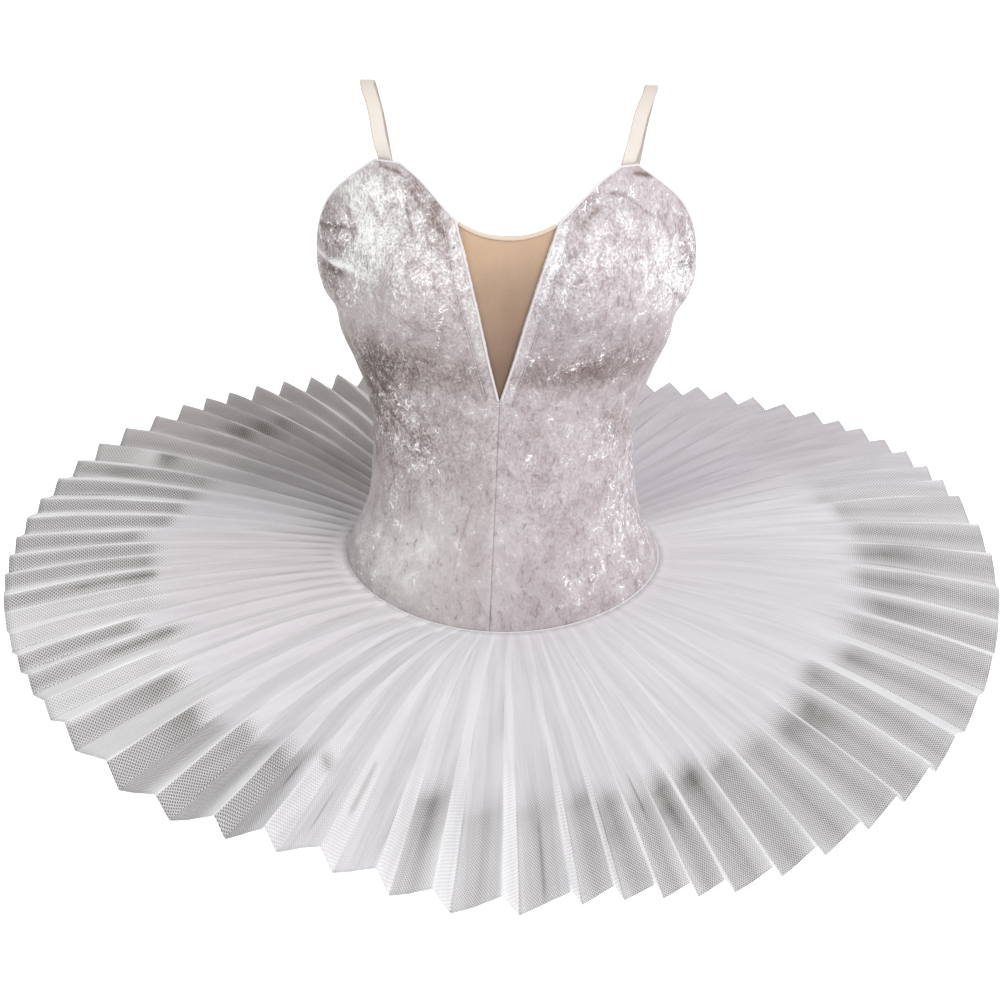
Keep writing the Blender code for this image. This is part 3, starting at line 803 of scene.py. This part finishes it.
def makeStitches(name, runs, material):
    # short lengths of thread lying along runs of (angle, z) places
    bm = bmesh.new()
    for places in runs:
        points = [torsoPoint(*place) + outward(*place) * 0.1 * mm for place in places]
        done, nextAt = 0.0, 0.0
        for start, end in zip(points, points[1:]):
            way = end - start
            while nextAt < done + way.length:
                middle = start + way * ((nextAt - done) / way.length)
                turn = way.to_track_quat("Z", "Y").to_matrix().to_4x4()
                bmesh.ops.create_cone(
                    bm, cap_ends=True, segments=6, radius1=trimForm["threadRadius"],
                    radius2=trimForm["threadRadius"], depth=trimForm["stitch"],
                    matrix=Matrix.Translation(middle) @ turn,
                )
                nextAt += trimForm["pitch"]
            done += way.length
    piece = pieceFrom(name, bm, material)
    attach(piece, "root")
    return piece


def stitchRuns():
    # a line beside each neck edge, and the square tack under the V point
    share = trimForm["bandWidth"] / frontForm["highWidth"]
    runs = [
        [frontPoint(side, share, 1, 0.15 + k / 90 * 6.6) for k in range(91)]
        for side in (-1, 1)
    ]
    top = frontEdges["neckZ"][0]
    for drop in (2.5 * mm, 5.0 * mm):
        z = top - drop
        ends = [centreX(z) + way * trimForm["tack"] for way in (-1, 1)]
        runs.append([(torsoAngle(mix(*ends, k / 4), z), z) for k in range(5)])
    return runs


for piece in makeEdges():
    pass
print("edges made")
makeStitches("neck_stitches", stitchRuns(), threadCloth)
print("stitches made")


# Sheer insert, and the elastic along its top
insertForm = dict(columns=40, rows=56, under=4 * mm, sag=13 * mm, depth=2.8 * mm, thickness=0.6 * mm,
                  bindingHeight=4 * mm, bindingShort=1.0 * mm)


def insertPoint(share, up, spread, depth, drop=0.0):
    edge = frontEdge(up * insertStep)
    x = (edge["neckX"] + spread) * share
    sag = insertForm["sag"] * smoothStep((up - 0.4) / 0.6) * (1 - share * share)
    z = edge["neckZ"] - sag - drop
    x += centreX(z)
    angle = math.copysign(torsoAngle(abs(x), z), x)
    return torsoPoint(angle, z) - outward(angle, z) * depth


def insertShade(across, up, point):
    # darker towards the V point and along the velvet that covers its sides
    side = abs(2 * across - 1)
    covered = 0.22 * smoothStep((side - 0.72) / 0.28)
    return 0.62 - 0.78 * (1 - up) ** 1.6 - covered - 0.10 * (1 - up), 0, 0, 1


insert = makeCloth(
    "sheer_insert",
    insertForm["columns"],
    insertForm["rows"],
    lambda across, up: insertPoint(2 * across - 1, up, insertForm["under"], insertForm["depth"]),
    insertCloth,
    dict(thickness=insertForm["thickness"]),
    paint=insertShade,
)
bindingShares = [2 * k / 48 - 1 for k in range(49)]
bindingDepth = insertForm["depth"] - 0.9 * mm
bindingPoints = [
    insertPoint(share, 1, -insertForm["bindingShort"], bindingDepth, insertForm["bindingHeight"] / 2)
    for share in bindingShares
]
binding = makeTube(
    "insert_binding",
    bindingPoints,
    [Vector((share * 0.3, -1, 0.15)) for share in bindingShares],
    insertForm["bindingHeight"] / 2,
    bindingCloth,
    12,
    0.36,
)
standFor("neck_insert")
standFor("neck_insert_binding")
print("insert made")


# Straps: right one's middle line in mm, from the cup over the shoulder to the back
strapForm = dict(width=12 * mm, tuck=9 * mm, backX=101 * mm, inset=3.3 * mm, rows=120, columns=10,
                 thickness=1.3 * mm, length=0.395)
strapLine = [
    Vector(point) * mm
    for point in (
        (106, -79, -49), (110, -70, -31), (116, -48, -11), (124, -18, 0.7), (126, 14, -2), (125, 46, -21),
        (120, 70, -56), (113, 82, -105),
    )
]


def curvePoint(points, share):
    last = len(points) - 1
    at = min(max(share, 0.0), 1.0) * last
    low = min(int(at), last - 1)
    u = at - low
    before, after = points[max(low - 1, 0)], points[min(low + 2, last)]
    start, end = points[low], points[low + 1]
    return (
        start * (2 * u**3 - 3 * u**2 + 1)
        + (end - before) / 2 * (u**3 - 2 * u**2 + u)
        + end * (3 * u**2 - 2 * u**3)
        + (after - start) / 2 * (u**3 - u**2)
    )


def strapPath(side):
    points, ways = [], []

    def tuck(angle, z):
        points.append(torsoPoint(angle, z) - outward(angle, z) * strapForm["inset"])
        way = torsoPoint(angle + 0.01, z) - torsoPoint(angle - 0.01, z)
        ways.append(way if math.cos(angle) > 0 else -way)

    top = strapLine[0]
    for z in (top.z - strapForm["tuck"], top.z):
        tuck(torsoAngle(top.x, z), z)
    for point in strapLine[1:]:
        points.append(point)
        ways.append(Vector((1, 0, 0)))
    backAngle = math.pi - torsoAngle(strapForm["backX"], backForm["edgeZ"])
    edgeZ = backEdgeZ(backAngle)
    for z in (edgeZ + 3 * strapForm["tuck"], edgeZ, edgeZ - strapForm["tuck"]):
        tuck(backAngle, z)
    turn = Vector((side, 1, 1))
    return [point * turn for point in points], [way.normalized() * turn for way in ways]


def makeStrap(side, name, node):
    points, ways = strapPath(side)

    def place(across, up):
        step = 0.01
        along = (curvePoint(points, up + step) - curvePoint(points, up - step)).normalized()
        way = curvePoint(ways, up)
        way -= along * along.dot(way)
        return curvePoint(points, up) + way.normalized() * side * (across - 0.5) * strapForm["width"]

    def shade(across, up, point):
        bend = bell(up - 0.42, 0.12)
        edge = smoothStep((abs(across - 0.5) - 0.36) / 0.1)
        return 0.70 - 0.30 * bend - 0.18 * edge, 0, 0, 1

    piece = makeCloth(
        name,
        strapForm["columns"],
        strapForm["rows"],
        place,
        elasticCloth,
        dict(thickness=strapForm["thickness"], laid=0),
        uvOf=lambda across, up, middle, point: (across * strapForm["width"], up * strapForm["length"]),
        paint=shade,
        relief=lambda across, up, point: 0.25 * mm * (0.5 - abs(across - 0.5)),
    )
    standFor(node)
    return piece


strapRight = makeStrap(-1, "elastic_strap_right", "strap_right")
strapLeft = makeStrap(1, "elastic_strap_left", "strap_left")
print("straps made")


# Brief: the ends of its front and back, by the share of the way from the middle to the side
briefForm = dict(columns=120, rows=40, belly=1.05, seat=1.34, drop=0.72, gap=1.1 * mm, thickness=1.2 * mm)
briefFront = columnsOf(
    "share x y z",
    [(0, 0, 0, -662), (0.17, 34, 0, -660), (0.36, 52, -56, -640), (0.56, 88, -86, -600),
     (0.78, 128, -70, -562), (1, 160, 0, -535)],
    mm,
)
briefBack = columnsOf(
    "share x y z",
    [(0, 0, 0, -662), (0.17, 34, 0, -660), (0.36, 76, 62, -654), (0.56, 118, 92, -630),
     (0.78, 148, 70, -588), (1, 160, 0, -535)],
    mm,
)


def briefEnds(angle):
    # start, middle and end of the curve that the brief follows down at an angle
    front = math.cos(angle) >= 0
    turn = abs(math.remainder(angle, fullTurn))
    share = turn / (math.pi / 2) if front else (math.pi - turn) / (math.pi / 2)
    rows = briefFront if front else briefBack
    first = rows["share"][1]
    if share < first:
        end = Vector([mix(rows[key][0], rows[key][1], share / first) for key in "xyz"])
    else:
        end = Vector([smoothValue(rows, "share", key, share) for key in "xyz"])
    end.x = math.copysign(end.x, math.sin(angle))
    start = torsoPoint(angle, seamZ(angle))
    start.z -= briefForm["gap"]
    full = mix(briefForm["belly"] if front else briefForm["seat"], briefForm["belly"], share)
    middle = Vector((start.x * briefForm["belly"], start.y * full, mix(start.z, end.z, briefForm["drop"])))
    return start, middle, end


def briefPoint(ends, down):
    start, middle, end = ends
    return start * (1 - down) ** 2 + middle * 2 * down * (1 - down) + end * down**2


def briefPlace(across, up):
    return briefPoint(briefEnds(fullTurn * (across - 0.5)), 1 - up)


brief = makeCloth(
    "velvet_brief",
    briefForm["columns"],
    briefForm["rows"],
    briefPlace,
    velvet,
    dict(thickness=briefForm["thickness"], closed=True),
    paint=lambda across, up, point: (0.6, 0.3, 0.3, 1),
)
standFor("brief")
print("brief made")


# Net skirt: the plate's form, and the height of its rim at each turn from the front
plateForm = dict(
    rimX=472 * mm, rimY=450 * mm, crown=10 * mm, seamFold=3 * mm, growth=0.62, spread=0.1, seed=11
)
rim = columnsOf(
    "angle height",
    [
        (math.radians(angle), height)
        for angle, height in (
            (-180, -450), (-150, -443), (-120, -443), (-90, -468), (-62, -493), (-36, -526),
            (-20, -525), (-2, -560), (13, -552), (26, -563), (42, -547), (62, -518), (90, -464),
            (120, -440), (150, -445), (180, -450),
        )
    ],
    mm,
)
# Pleats from the centre back past the right side, the front and the left side
pleatZones = columnsOf(
    "pleats width steep height",
    [
        (6, 4.0, 0.3, 16), (6, 4.0, 0.22, 17), (4, 5.2, 0.25, 15), (11, 4.65, 0.3, 11), (2, 5.0, 0.3, 12),
        (3, 7.5, 0.25, 18), (4, 5.9, 0.22, 20), (2, 6.2, 0.25, 18), (4, 4.0, 0.25, 14), (6, 5.9, 0.22, 14),
        (7, 6.5, 0.4, 12), (17, 4.45, 0.48, 14),
    ],
)


def turnOf(angle):
    # degrees from the front, more towards the wearer's left
    return math.degrees(math.remainder(angle, fullTurn))


def pleatFolds():
    # ridge and valley by turns: angle, and height at the rim
    pick = random.Random(plateForm["seed"])
    zones = [k for k, count in enumerate(pleatZones["pleats"]) for _ in range(count)]
    widths = [
        math.radians(pleatZones["width"][k]) * (1 + pick.uniform(-plateForm["spread"], plateForm["spread"]))
        for k in zones
    ]
    scale = fullTurn / sum(widths)
    folds, angle = [], -math.pi
    for k, width in zip(zones, widths):
        width *= scale
        half = pleatZones["height"][k] * mm / 2
        folds += [(angle, half), (angle + width * pleatZones["steep"][k], -half)]
        angle += width
    return folds


def foldColumns(folds, flankPlaces):
    # the grid's columns: angle, heights at rim and seam, flank number and place on the flank
    made = []
    for k, (angle, height) in enumerate(folds):
        nextAngle, nextHeight = folds[(k + 1) % len(folds)]
        nextAngle += fullTurn if k + 1 == len(folds) else 0
        for t in flankPlaces[k % 2]:
            rounded = t - 0.035 * math.sin(fullTurn * t)
            made.append(
                dict(
                    angle=mix(angle, nextAngle, t),
                    high=mix(height, nextHeight, rounded),
                    low=mix(math.copysign(1, height), math.copysign(1, nextHeight), rounded)
                    * plateForm["seamFold"] / 2,
                    flank=k,
                    t=t,
                    middle=(angle + nextAngle) / 2,
                )
            )
    return made


def sewnPoint(angle, depth, clear):
    ends = briefEnds(angle)
    target = seamZ(angle) - depth
    low, high = 0.0, 1.0
    for _ in range(20):
        middle = (low + high) / 2
        if briefPoint(ends, middle).z > target:
            low = middle
        else:
            high = middle
    point = briefPoint(ends, low)
    flat = Vector((point.x, point.y, 0))
    return point + flat.normalized() * clear


def gatherTurn(angle, out):
    # the folds at the front right are drawn towards the middle where they meet the bodice
    pull = math.radians(10) * bell(turnOf(angle) + 33, 27)
    return angle + pull * (1 - out) ** 1.6


def gatherBow(angle, out):
    # and they leave it in a curve
    near = bell(turnOf(angle) + 34, 26)
    tangent = Vector((math.cos(angle), math.sin(angle), 0))
    return tangent * (-15 * mm * near * 6.75 * out * (1 - out) ** 2)


def calmShare(angle):
    # the folds are pressed flat near the bodice at the front and the left side
    turn = turnOf(angle)
    return 0.92 * smoothStep((turn + 62) / 50) * (1 - 0.4 * smoothStep((turn - 150) / 25))


def makeNet(name, node, layer, columns, material, paint, ripple=0.0):
    lift = Vector((0, 0, layer["lift"]))
    sewn = [
        sewnPoint(gatherTurn(column["angle"], 0.0), layer["attach"], layer["clear"]) + lift
        for column in columns
    ]
    rims = []
    for column in columns:
        angle = column["angle"]
        height = smoothValue(rim, "angle", "height", math.remainder(angle, fullTurn)) - layer["drop"]
        x, y = plateForm["rimX"] * math.sin(angle), -plateForm["rimY"] * math.cos(angle)
        rims.append(Vector((x, y, height)))
    count = len(columns)

    def place(across, up):
        at = round(across * count) % count
        column = columns[at]
        reach = layer["reach"] + (reachJitter[column["flank"] // 2 * 2] if layer["uneven"] else 0)
        out = (1 - up) * reach
        turned = gatherTurn(column["angle"], out)
        point = sewn[at].lerp(rims[at], out)
        point += gatherBow(column["angle"], out)
        point.z += plateForm["crown"] * 4 * out * (1 - out)
        calm = calmShare(column["angle"])
        rise = out ** plateForm["growth"] * mix(1.0, smoothStep((out - 0.12) / 0.72), calm)
        point.z += mix(column["low"] * mix(0.4, 0.1, calm), column["high"], rise)
        if ripple:
            wave = Vector((math.cos(turned) * 9, math.sin(turned) * 9, out * 5 + column["flank"]))
            point.z += ripple * noise.noise(wave) * out
        return point

    def uvOf(across, up, middle, point):
        at = int(middle * count) % count
        column = columns[at]
        turn = math.atan2(point.x / plateForm["rimX"], -point.y / plateForm["rimY"])
        turn = math.remainder(turn - column["middle"], fullTurn)
        radius = math.hypot(point.x, point.y)
        return 1 + turn * radius * 1.12 + 0.0137 * (column["flank"] % 19), 1 + radius

    piece = makeCloth(
        name,
        count,
        layer["rows"],
        place,
        material,
        dict(thickness=layer["thickness"], laid=0, closed=True),
        uvOf=uvOf,
        paint=lambda across, up, point: paint(columns[round(across * count) % count], 1 - up, point),
        sharp=lambda across: columns[round(across * count) % count]["t"] == 0,
    )
    standFor(node)
    return piece


folds = pleatFolds()
reachPick = random.Random(5)
reachJitter = [reachPick.uniform(-0.05, 0.025) for _ in folds]
pleatJitter = [reachPick.uniform(0.1, 1.0) for _ in folds[::2]]
stripJitter = [reachPick.uniform(0.0, 1.0) for _ in folds[::2]]
edgeJitter = [reachPick.uniform(-0.02, 0.02) for _ in folds]

# Where each layer is sewn on, how far it lies under the first, and its reach as a share of the way out
topLayer = dict(attach=0.3 * mm, clear=0.7 * mm, lift=1.0 * mm, drop=0, rows=44, thickness=0.4 * mm,
                reach=1.0, uneven=False)
secondLayer = dict(attach=9 * mm, clear=0.9 * mm, lift=0, drop=8 * mm, rows=20, thickness=0.5 * mm,
                   reach=0.575, uneven=True)
thirdLayer = dict(attach=17 * mm, clear=0.9 * mm, lift=0, drop=28 * mm, rows=14, thickness=0.6 * mm,
                  reach=0.46, uneven=False)

# Where the white inner zone of the top layer ends, as a share of the way out
innerZone = columnsOf(
    "turn reach",
    [
        (-180, 0.56), (-130, 0.53), (-104, 0.53), (-92, 0.555), (-72, 0.60), (-63, 0.63), (-50, 0.61),
        (-36, 0.69), (-20, 0.70), (0, 0.67), (20, 0.685), (33, 0.625), (55, 0.60), (80, 0.59),
        (101, 0.59), (140, 0.57), (180, 0.56),
    ],
)

# Places where the top layer is creased over: turn and share of the way out, the reach of each, and what
# is added there to white, dense and dark, the dark being painted shade in the crease
netMarks = columnsOf(
    "turn out wide long white dense dark",
    [
        (-124.5, 0.72, 1.2, 0.030, 0.0, 0.0, 1.6), (-128.5, 0.63, 1.2, 0.030, 0.0, 0.0, 1.4),
        (-132, 0.70, 5.0, 0.070, 0.0, -0.3, 0.8), (-137, 0.66, 4.0, 0.060, 0.0, -0.3, 0.7),
        (-117, 0.73, 1.4, 0.045, -0.3, -0.5, 0.7), (-114, 0.84, 1.6, 0.030, 0.5, 0.4, -0.2),
        (-116.5, 0.80, 1.2, 0.030, 0.6, 0.4, -0.2), (-111.5, 0.82, 1.4, 0.050, 0.0, 0.0, 0.8),
        (-22, 0.70, 0.8, 0.024, -0.2, -0.3, 0.8), (-7, 0.77, 2.2, 0.100, 0.0, -0.2, 0.35),
        (13.5, 0.78, 1.8, 0.120, 0.0, -0.2, 0.55), (22, 0.74, 2.0, 0.090, 0.0, -0.1, 0.7),
        (29, 0.70, 2.4, 0.090, 0.0, -0.1, 0.7), (49, 0.68, 4.0, 0.060, 0.0, 0.0, 0.5),
        (80, 0.69, 4.0, 0.080, 0.0, 0.0, 0.55), (90, 0.70, 4.0, 0.090, 0.0, 0.0, 0.6),
    ],
)

# Thin open creases along a flank, painted as dark lines of shade: turn, both ends as shares of the way out,
# how dark
shadedSlits = columnsOf(
    "turn from to dark",
    [
        (-15.3, 0.64, 0.86, 1.8), (-19.0, 0.78, 0.95, 1.3), (-24.5, 0.72, 0.84, 1.8),
        (-62.0, 0.56, 0.80, 0.8), (-78.0, 0.55, 0.82, 0.7), (-47.0, 0.60, 0.74, 1.5),
        (6.0, 0.74, 1.00, 0.8), (18.5, 0.62, 0.80, 1.2),
    ],
)


def netPatch(angle, out, seed):
    return noise.noise(Vector((math.sin(angle) * 4, math.cos(angle) * 4, out * 5 + seed)))


def slitShade(column, turn, out):
    # painted shade of the slits, each on the middle line of the flank nearest to its turn
    dark = 0.0
    for k, slitTurn in enumerate(shadedSlits["turn"]):
        if column["t"] == 0.5 and abs(turn - slitTurn) < 2.2:
            start, end = shadedSlits["from"][k], shadedSlits["to"][k]
            dark += shadedSlits["dark"][k] * smoothStep((out - start) / 0.02) * smoothStep((end - out) / 0.05)
    return dark


# How white, dense and dark with painted shade the top net is, from 0 to 1, and the turns where its look
# changes
netTone = dict(
    doubledWhite=(0.62, 1.0),  # flanks that stand edge on, the least and the most
    besideFoldWhite=(0.12, 0.5),  # the mesh flanks, close to their folds
    ridgeWhite=0.95,
    valleyWhite=0.35,
    oddWhite=0.42,  # a few whole mesh flanks at the side
    oddFrom=0.84,
    calmWhite=0.26,
    backWhite=0.28,
    seamWhite=0.8,
    seamReach=0.035,
    innerWhite=0.16,  # what shows of the white over the inner zone
    meshDense=0.05,
    frontDense=0.22,
    calmDense=0.45,
    innerDense=0.86,
    backLeftDense=0.62,
    backRightDense=0.50,
    blur=(0.035, 0.12),  # how softly the inner zone ends, the least and the most
    shadeReach=(0.08, 0.24),
    shadeDepth=(0.08, 0.75),
    shadeLeast=0.12,
    gatherReach=(0.30, 0.62),
    gatherDepth=(0.9, 0.6),  # of the painted shade lines at a valley and on a flank
    rightTurn=-20,
    sideTurn=-46,
)


def pleatPick(pleat, shift=0):
    return pleatJitter[(pleat + shift) % len(pleatJitter)]


def foldWhite(column, turn, edgeOn, strip):
    # the flank that lies edge on to the front shows the net doubled and white, the other one its mesh
    tone, t = netTone, column["t"]
    side = turn < tone["sideTurn"]
    if t == 0 and column["flank"] % 2 == 0:
        return tone["ridgeWhite"]
    if t == 0:
        return tone["valleyWhite"] * strip if side or turn > 20 else 0.0
    if edgeOn:
        white = mix(*tone["doubledWhite"], strip)
        # at the front right only a narrow strip beside the ridge is white
        if tone["sideTurn"] < turn < tone["rightTurn"] and t < 0.9:
            white *= smoothStep((-42 - turn) / 4)
        return white
    white = tone["oddWhite"] if side and strip > tone["oddFrom"] else 0.0
    # the white of the folds fades out softly from both sides
    if (side or turn > -8) and t in (0.06, 0.94):
        white = max(white, mix(*tone["besideFoldWhite"], strip if t > 0.5 else 1 - strip))
    return white


def gatherLine(column, turn, out, strip):
    # painted shade: fine dark lines in the valleys of the gathers beside the bodice, at the wearer's right
    tone, t, ridgeFlank = netTone, column["t"], column["flank"] % 2 == 0
    valleyLine = t == 0 and not ridgeFlank
    if not valleyLine and not (turn < tone["rightTurn"] and ridgeFlank):
        return 0.0
    gathered = smoothStep((-3 - turn) / 6) * smoothStep((turn + 150) / 20)
    length = mix(*tone["gatherReach"], strip) - 0.12 * smoothStep((-60 - turn) / 20)
    gathered *= smoothStep((out - 0.012) / 0.045) * (1 - smoothStep((out - 0.05) / length))
    valley, flank = tone["gatherDepth"]
    return gathered * (valley if valleyLine else flank * smoothStep((t - 0.25 - 1.8 * out) / 0.4))


def topPaint(column, out, point):
    tone, flank = netTone, column["flank"]
    pleat = flank // 2
    turn = turnOf(column["angle"])
    strip = stripJitter[pleat]
    edgeOn = (flank % 2 == 0) != (turn < tone["rightTurn"])
    calm = smoothStep((turn + 25.5) / 3) * smoothStep((-8 - turn) / 4)
    backLeft = smoothStep((turn - 95) / 30)
    backRight = smoothStep((-turn - 108) / 16)
    patch = netPatch(column["angle"], out, 3)
    # where the white inner zone ends on this flank
    edge = smoothValue(innerZone, "turn", "reach", turn) + 1.4 * edgeJitter[flank] + 0.04 * patch
    edge += reachJitter[pleat * 2] + 0.012
    blur = mix(*tone["blur"], pleatPick(pleat, 5)) + 0.05 * smoothStep((turn + 50) / 30)
    inner = smoothStep((edge + blur * 0.4 - out) / blur)

    white = mix(foldWhite(column, turn, edgeOn, strip), tone["calmWhite"], 0.85 * calm)
    white *= mix(1.0, tone["innerWhite"], inner) * (1 - 0.5 * backRight)
    white = mix(white, tone["backWhite"], 0.7 * backLeft)
    dense = tone["meshDense"] + tone["frontDense"] * bell(turn - 1, 17) + tone["calmDense"] * calm
    dense = mix(dense, tone["innerDense"] - 0.22 * max(patch, 0), inner)
    dense = mix(dense, tone["backLeftDense"], backLeft * 0.8)
    dense = mix(dense, tone["backRightDense"], backRight * (1 - inner))
    # painted shade in the mesh, just past the inner zone
    past = (out - edge) / mix(*tone["shadeReach"], pleatPick(pleat))
    paintedShade = smoothStep(past * 4) * (1 - smoothStep(past)) * (0.1 if edgeOn else 1.0)
    paintedShade *= mix(*tone["shadeDepth"], pleatPick(pleat, 3) ** 1.5)
    paintedShade *= 1 - 0.45 * smoothStep((-turn - 52) / 10)
    paintedShade = max(paintedShade, tone["shadeLeast"] * (1 - edgeOn)) * (1 - inner) * (1 - 0.8 * calm)
    paintedShade *= 1 - 0.75 * max(backLeft, 0.6 * backRight)
    gathered = gatherLine(column, turn, out, strip)
    paintedShade = max(paintedShade, gathered)
    white *= 1 - gathered
    white = max(white, tone["seamWhite"] * (1 - smoothStep(out / tone["seamReach"])))
    paintedShade += slitShade(column, turn, out)
    for k, markTurn in enumerate(netMarks["turn"]):
        if abs(turn - markTurn) < 3 * netMarks["wide"][k]:
            near = bell(turn - markTurn, netMarks["wide"][k])
            near *= bell(out - netMarks["out"][k], netMarks["long"][k])
            white += netMarks["white"][k] * near
            dense += netMarks["dense"][k] * near
            # the mark's dark is painted shade in the crease
            shown = (0.3 if edgeOn else 1.0) * (1 - inner * (turn > -60))
            paintedShade += netMarks["dark"][k] * near * shown
    return min(max(white, 0), 1), min(max(dense, 0), 1), max(paintedShade, 0), farShade(turn, out)


def farShade(turn, out):
    # 1 is the cloth's own white; the side and back of the skirt get painted shade
    shadeAmount = 0.62 * smoothStep((-turn - 98) / 34) - 0.12 * bell(turn + 120, 22) * (1 - out)
    shadeAmount += 0.62 * smoothStep((turn - 100) / 30)
    shadeAmount += 0.20 * bell(turn + 80, 30) * (1 - 0.6 * out) + 0.20 * bell(turn - 85, 34) * (1 - 0.5 * out)
    shadeAmount += 0.16 * bell(turn + 70, 42) * (1 - smoothStep((out - 0.45) / 0.25))
    return 1 - min(max(shadeAmount * mix(1.0, 0.85, out), 0), 0.95)


def secondPaint(column, out, point):
    # its edge frays out under the top layer
    turn = turnOf(column["angle"])
    fray = smoothStep((out - 0.86 + 0.10 * stripJitter[column["flank"] // 2]) / 0.14)
    return 0.35, 0.8, fray, farShade(turn, out)


def thirdPaint(column, out, point):
    turn = turnOf(column["angle"])
    return 0.35, 0.8, 0, farShade(turn, out)


topPlaces = ((0, 0.06, 0.28, 0.50, 0.72, 0.94), (0, 0.06, 0.44, 0.50, 0.56, 0.94))
underPlaces = ((0, 0.25, 0.5, 0.75), (0, 0.25, 0.5, 0.75))
topColumns = foldColumns(folds, topPlaces)
top = makeNet("net_top", "skirt_top", topLayer, topColumns, topNet, topPaint, ripple=2.2 * mm)
secondColumns = foldColumns(folds, underPlaces)
second = makeNet("net_second", "skirt_second", secondLayer, secondColumns, underNet, secondPaint)
thirdFolds = [(k * math.pi / 48 - math.pi, 4 * mm * (1 - 2 * (k % 2))) for k in range(96)]
thirdColumns = foldColumns(thirdFolds, underPlaces)
third = makeNet("net_third", "skirt_third", thirdLayer, thirdColumns, underNet, thirdPaint)
print("skirt made")


# Flat size of each sheet, how it is held, its area where it is cut to shape, and what it is sewn to
cuts = (
    (frontRight, (0.24, 0.42), "stretched", 0.075, ["bodice_back"]),
    (frontLeft, (0.24, 0.42), "stretched", 0.075, ["bodice_back"]),
    (back, (0.42, 0.28), "stretched", 0.09, ["bodice_front_left"]),
    (insert, (0.095, 0.17), "stretched", 0.008, ["bodice_front_left"]),
    (strapRight, (0.012, 0.395), "stretched", None, ["bodice_front_right"]),
    (strapLeft, (0.012, 0.395), "stretched", None, ["bodice_front_left"]),
    (brief, (0.46, 0.42), "stretched", 0.15, ["bodice_back"]),
    (top, (0.34, 2.3), "gathered", None, ["brief"]),
    (second, (0.19, 1.8), "gathered", None, ["brief"]),
    (third, (0.16, 1.6), "gathered", None, ["brief"]),
)
for piece, flat, held, area, restsOn in cuts:
    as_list(restsOn)


# Floor, light and camera
studio = dict(
    floorZ=-1.42, floorSize=60, floorColour=(0.95, 0.95, 0.95, 1), glow=0.36,
    sky=(0.97, 0.98, 1.0, 1), skyPower=0.56,
)
# soft suns: where each shines from, its strength and how soft it is in degrees
lights = columnsOf(
    "name x y z power soft",
    [
        ("key", 0.62, -0.62, 0.95, 2.1, 26),
        ("top", -0.10, 0.35, 1.0, 0.55, 60),
    ],
)


def makeStage():
    bm = bmesh.new()
    bmesh.ops.create_grid(bm, x_segments=2, y_segments=2, size=studio["floorSize"] / 2)
    bmesh.ops.translate(bm, verts=bm.verts, vec=(0, 0, studio["floorZ"]))
    material, _, shader = newMaterial("floor_paint")
    shader.inputs["Base Color"].default_value = studio["floorColour"]
    shader.inputs["Emission Color"].default_value = (1, 1, 1, 1)
    shader.inputs["Emission Strength"].default_value = studio["glow"]
    shader.inputs["Roughness"].default_value = 0.9
    pieceFrom("floor", bm, material)

    world = bpy.data.worlds.new("studio")
    world.use_nodes = True
    sky = world.node_tree.nodes["Background"]
    sky.inputs[0].default_value = studio["sky"]
    sky.inputs[1].default_value = studio["skyPower"]
    bpy.context.scene.world = world
    for k, name in enumerate(lights["name"]):
        lamp = bpy.data.lights.new(name, "SUN")
        lamp.energy = lights["power"][k]
        lamp.angle = math.radians(lights["soft"][k])
        holder = bpy.data.objects.new(name, lamp)
        holder.location = (lights["x"][k], lights["y"][k], lights["z"][k])
        holder.rotation_mode = "QUATERNION"
        holder.rotation_quaternion = (-holder.location).to_track_quat("-Z", "Y")
        bpy.context.scene.collection.objects.link(holder)
    bpy.context.scene.view_settings.view_transform = "Standard"


view = dict(elevation=24, azimuth=1.2, roll=0.85, distance=2.3, lens=87, target=(-0.0022, 0, -0.402))


def makeCamera():
    a, e = math.radians(view["azimuth"]), math.radians(view["elevation"])
    back = Vector((math.sin(a) * math.cos(e), -math.cos(a) * math.cos(e), math.sin(e)))
    lens = bpy.data.cameras.new("camera")
    lens.lens = view["lens"]
    holder = bpy.data.objects.new("camera", lens)
    holder.location = Vector(view["target"]) + back * view["distance"]
    holder.rotation_mode = "QUATERNION"
    turn = Quaternion((0, 0, 1), math.radians(view["roll"]))
    holder.rotation_quaternion = (-back).to_track_quat("-Z", "Y") @ turn
    bpy.context.scene.collection.objects.link(holder)
    bpy.context.scene.camera = holder


makeStage()
makeCamera()
print("stage and camera made")
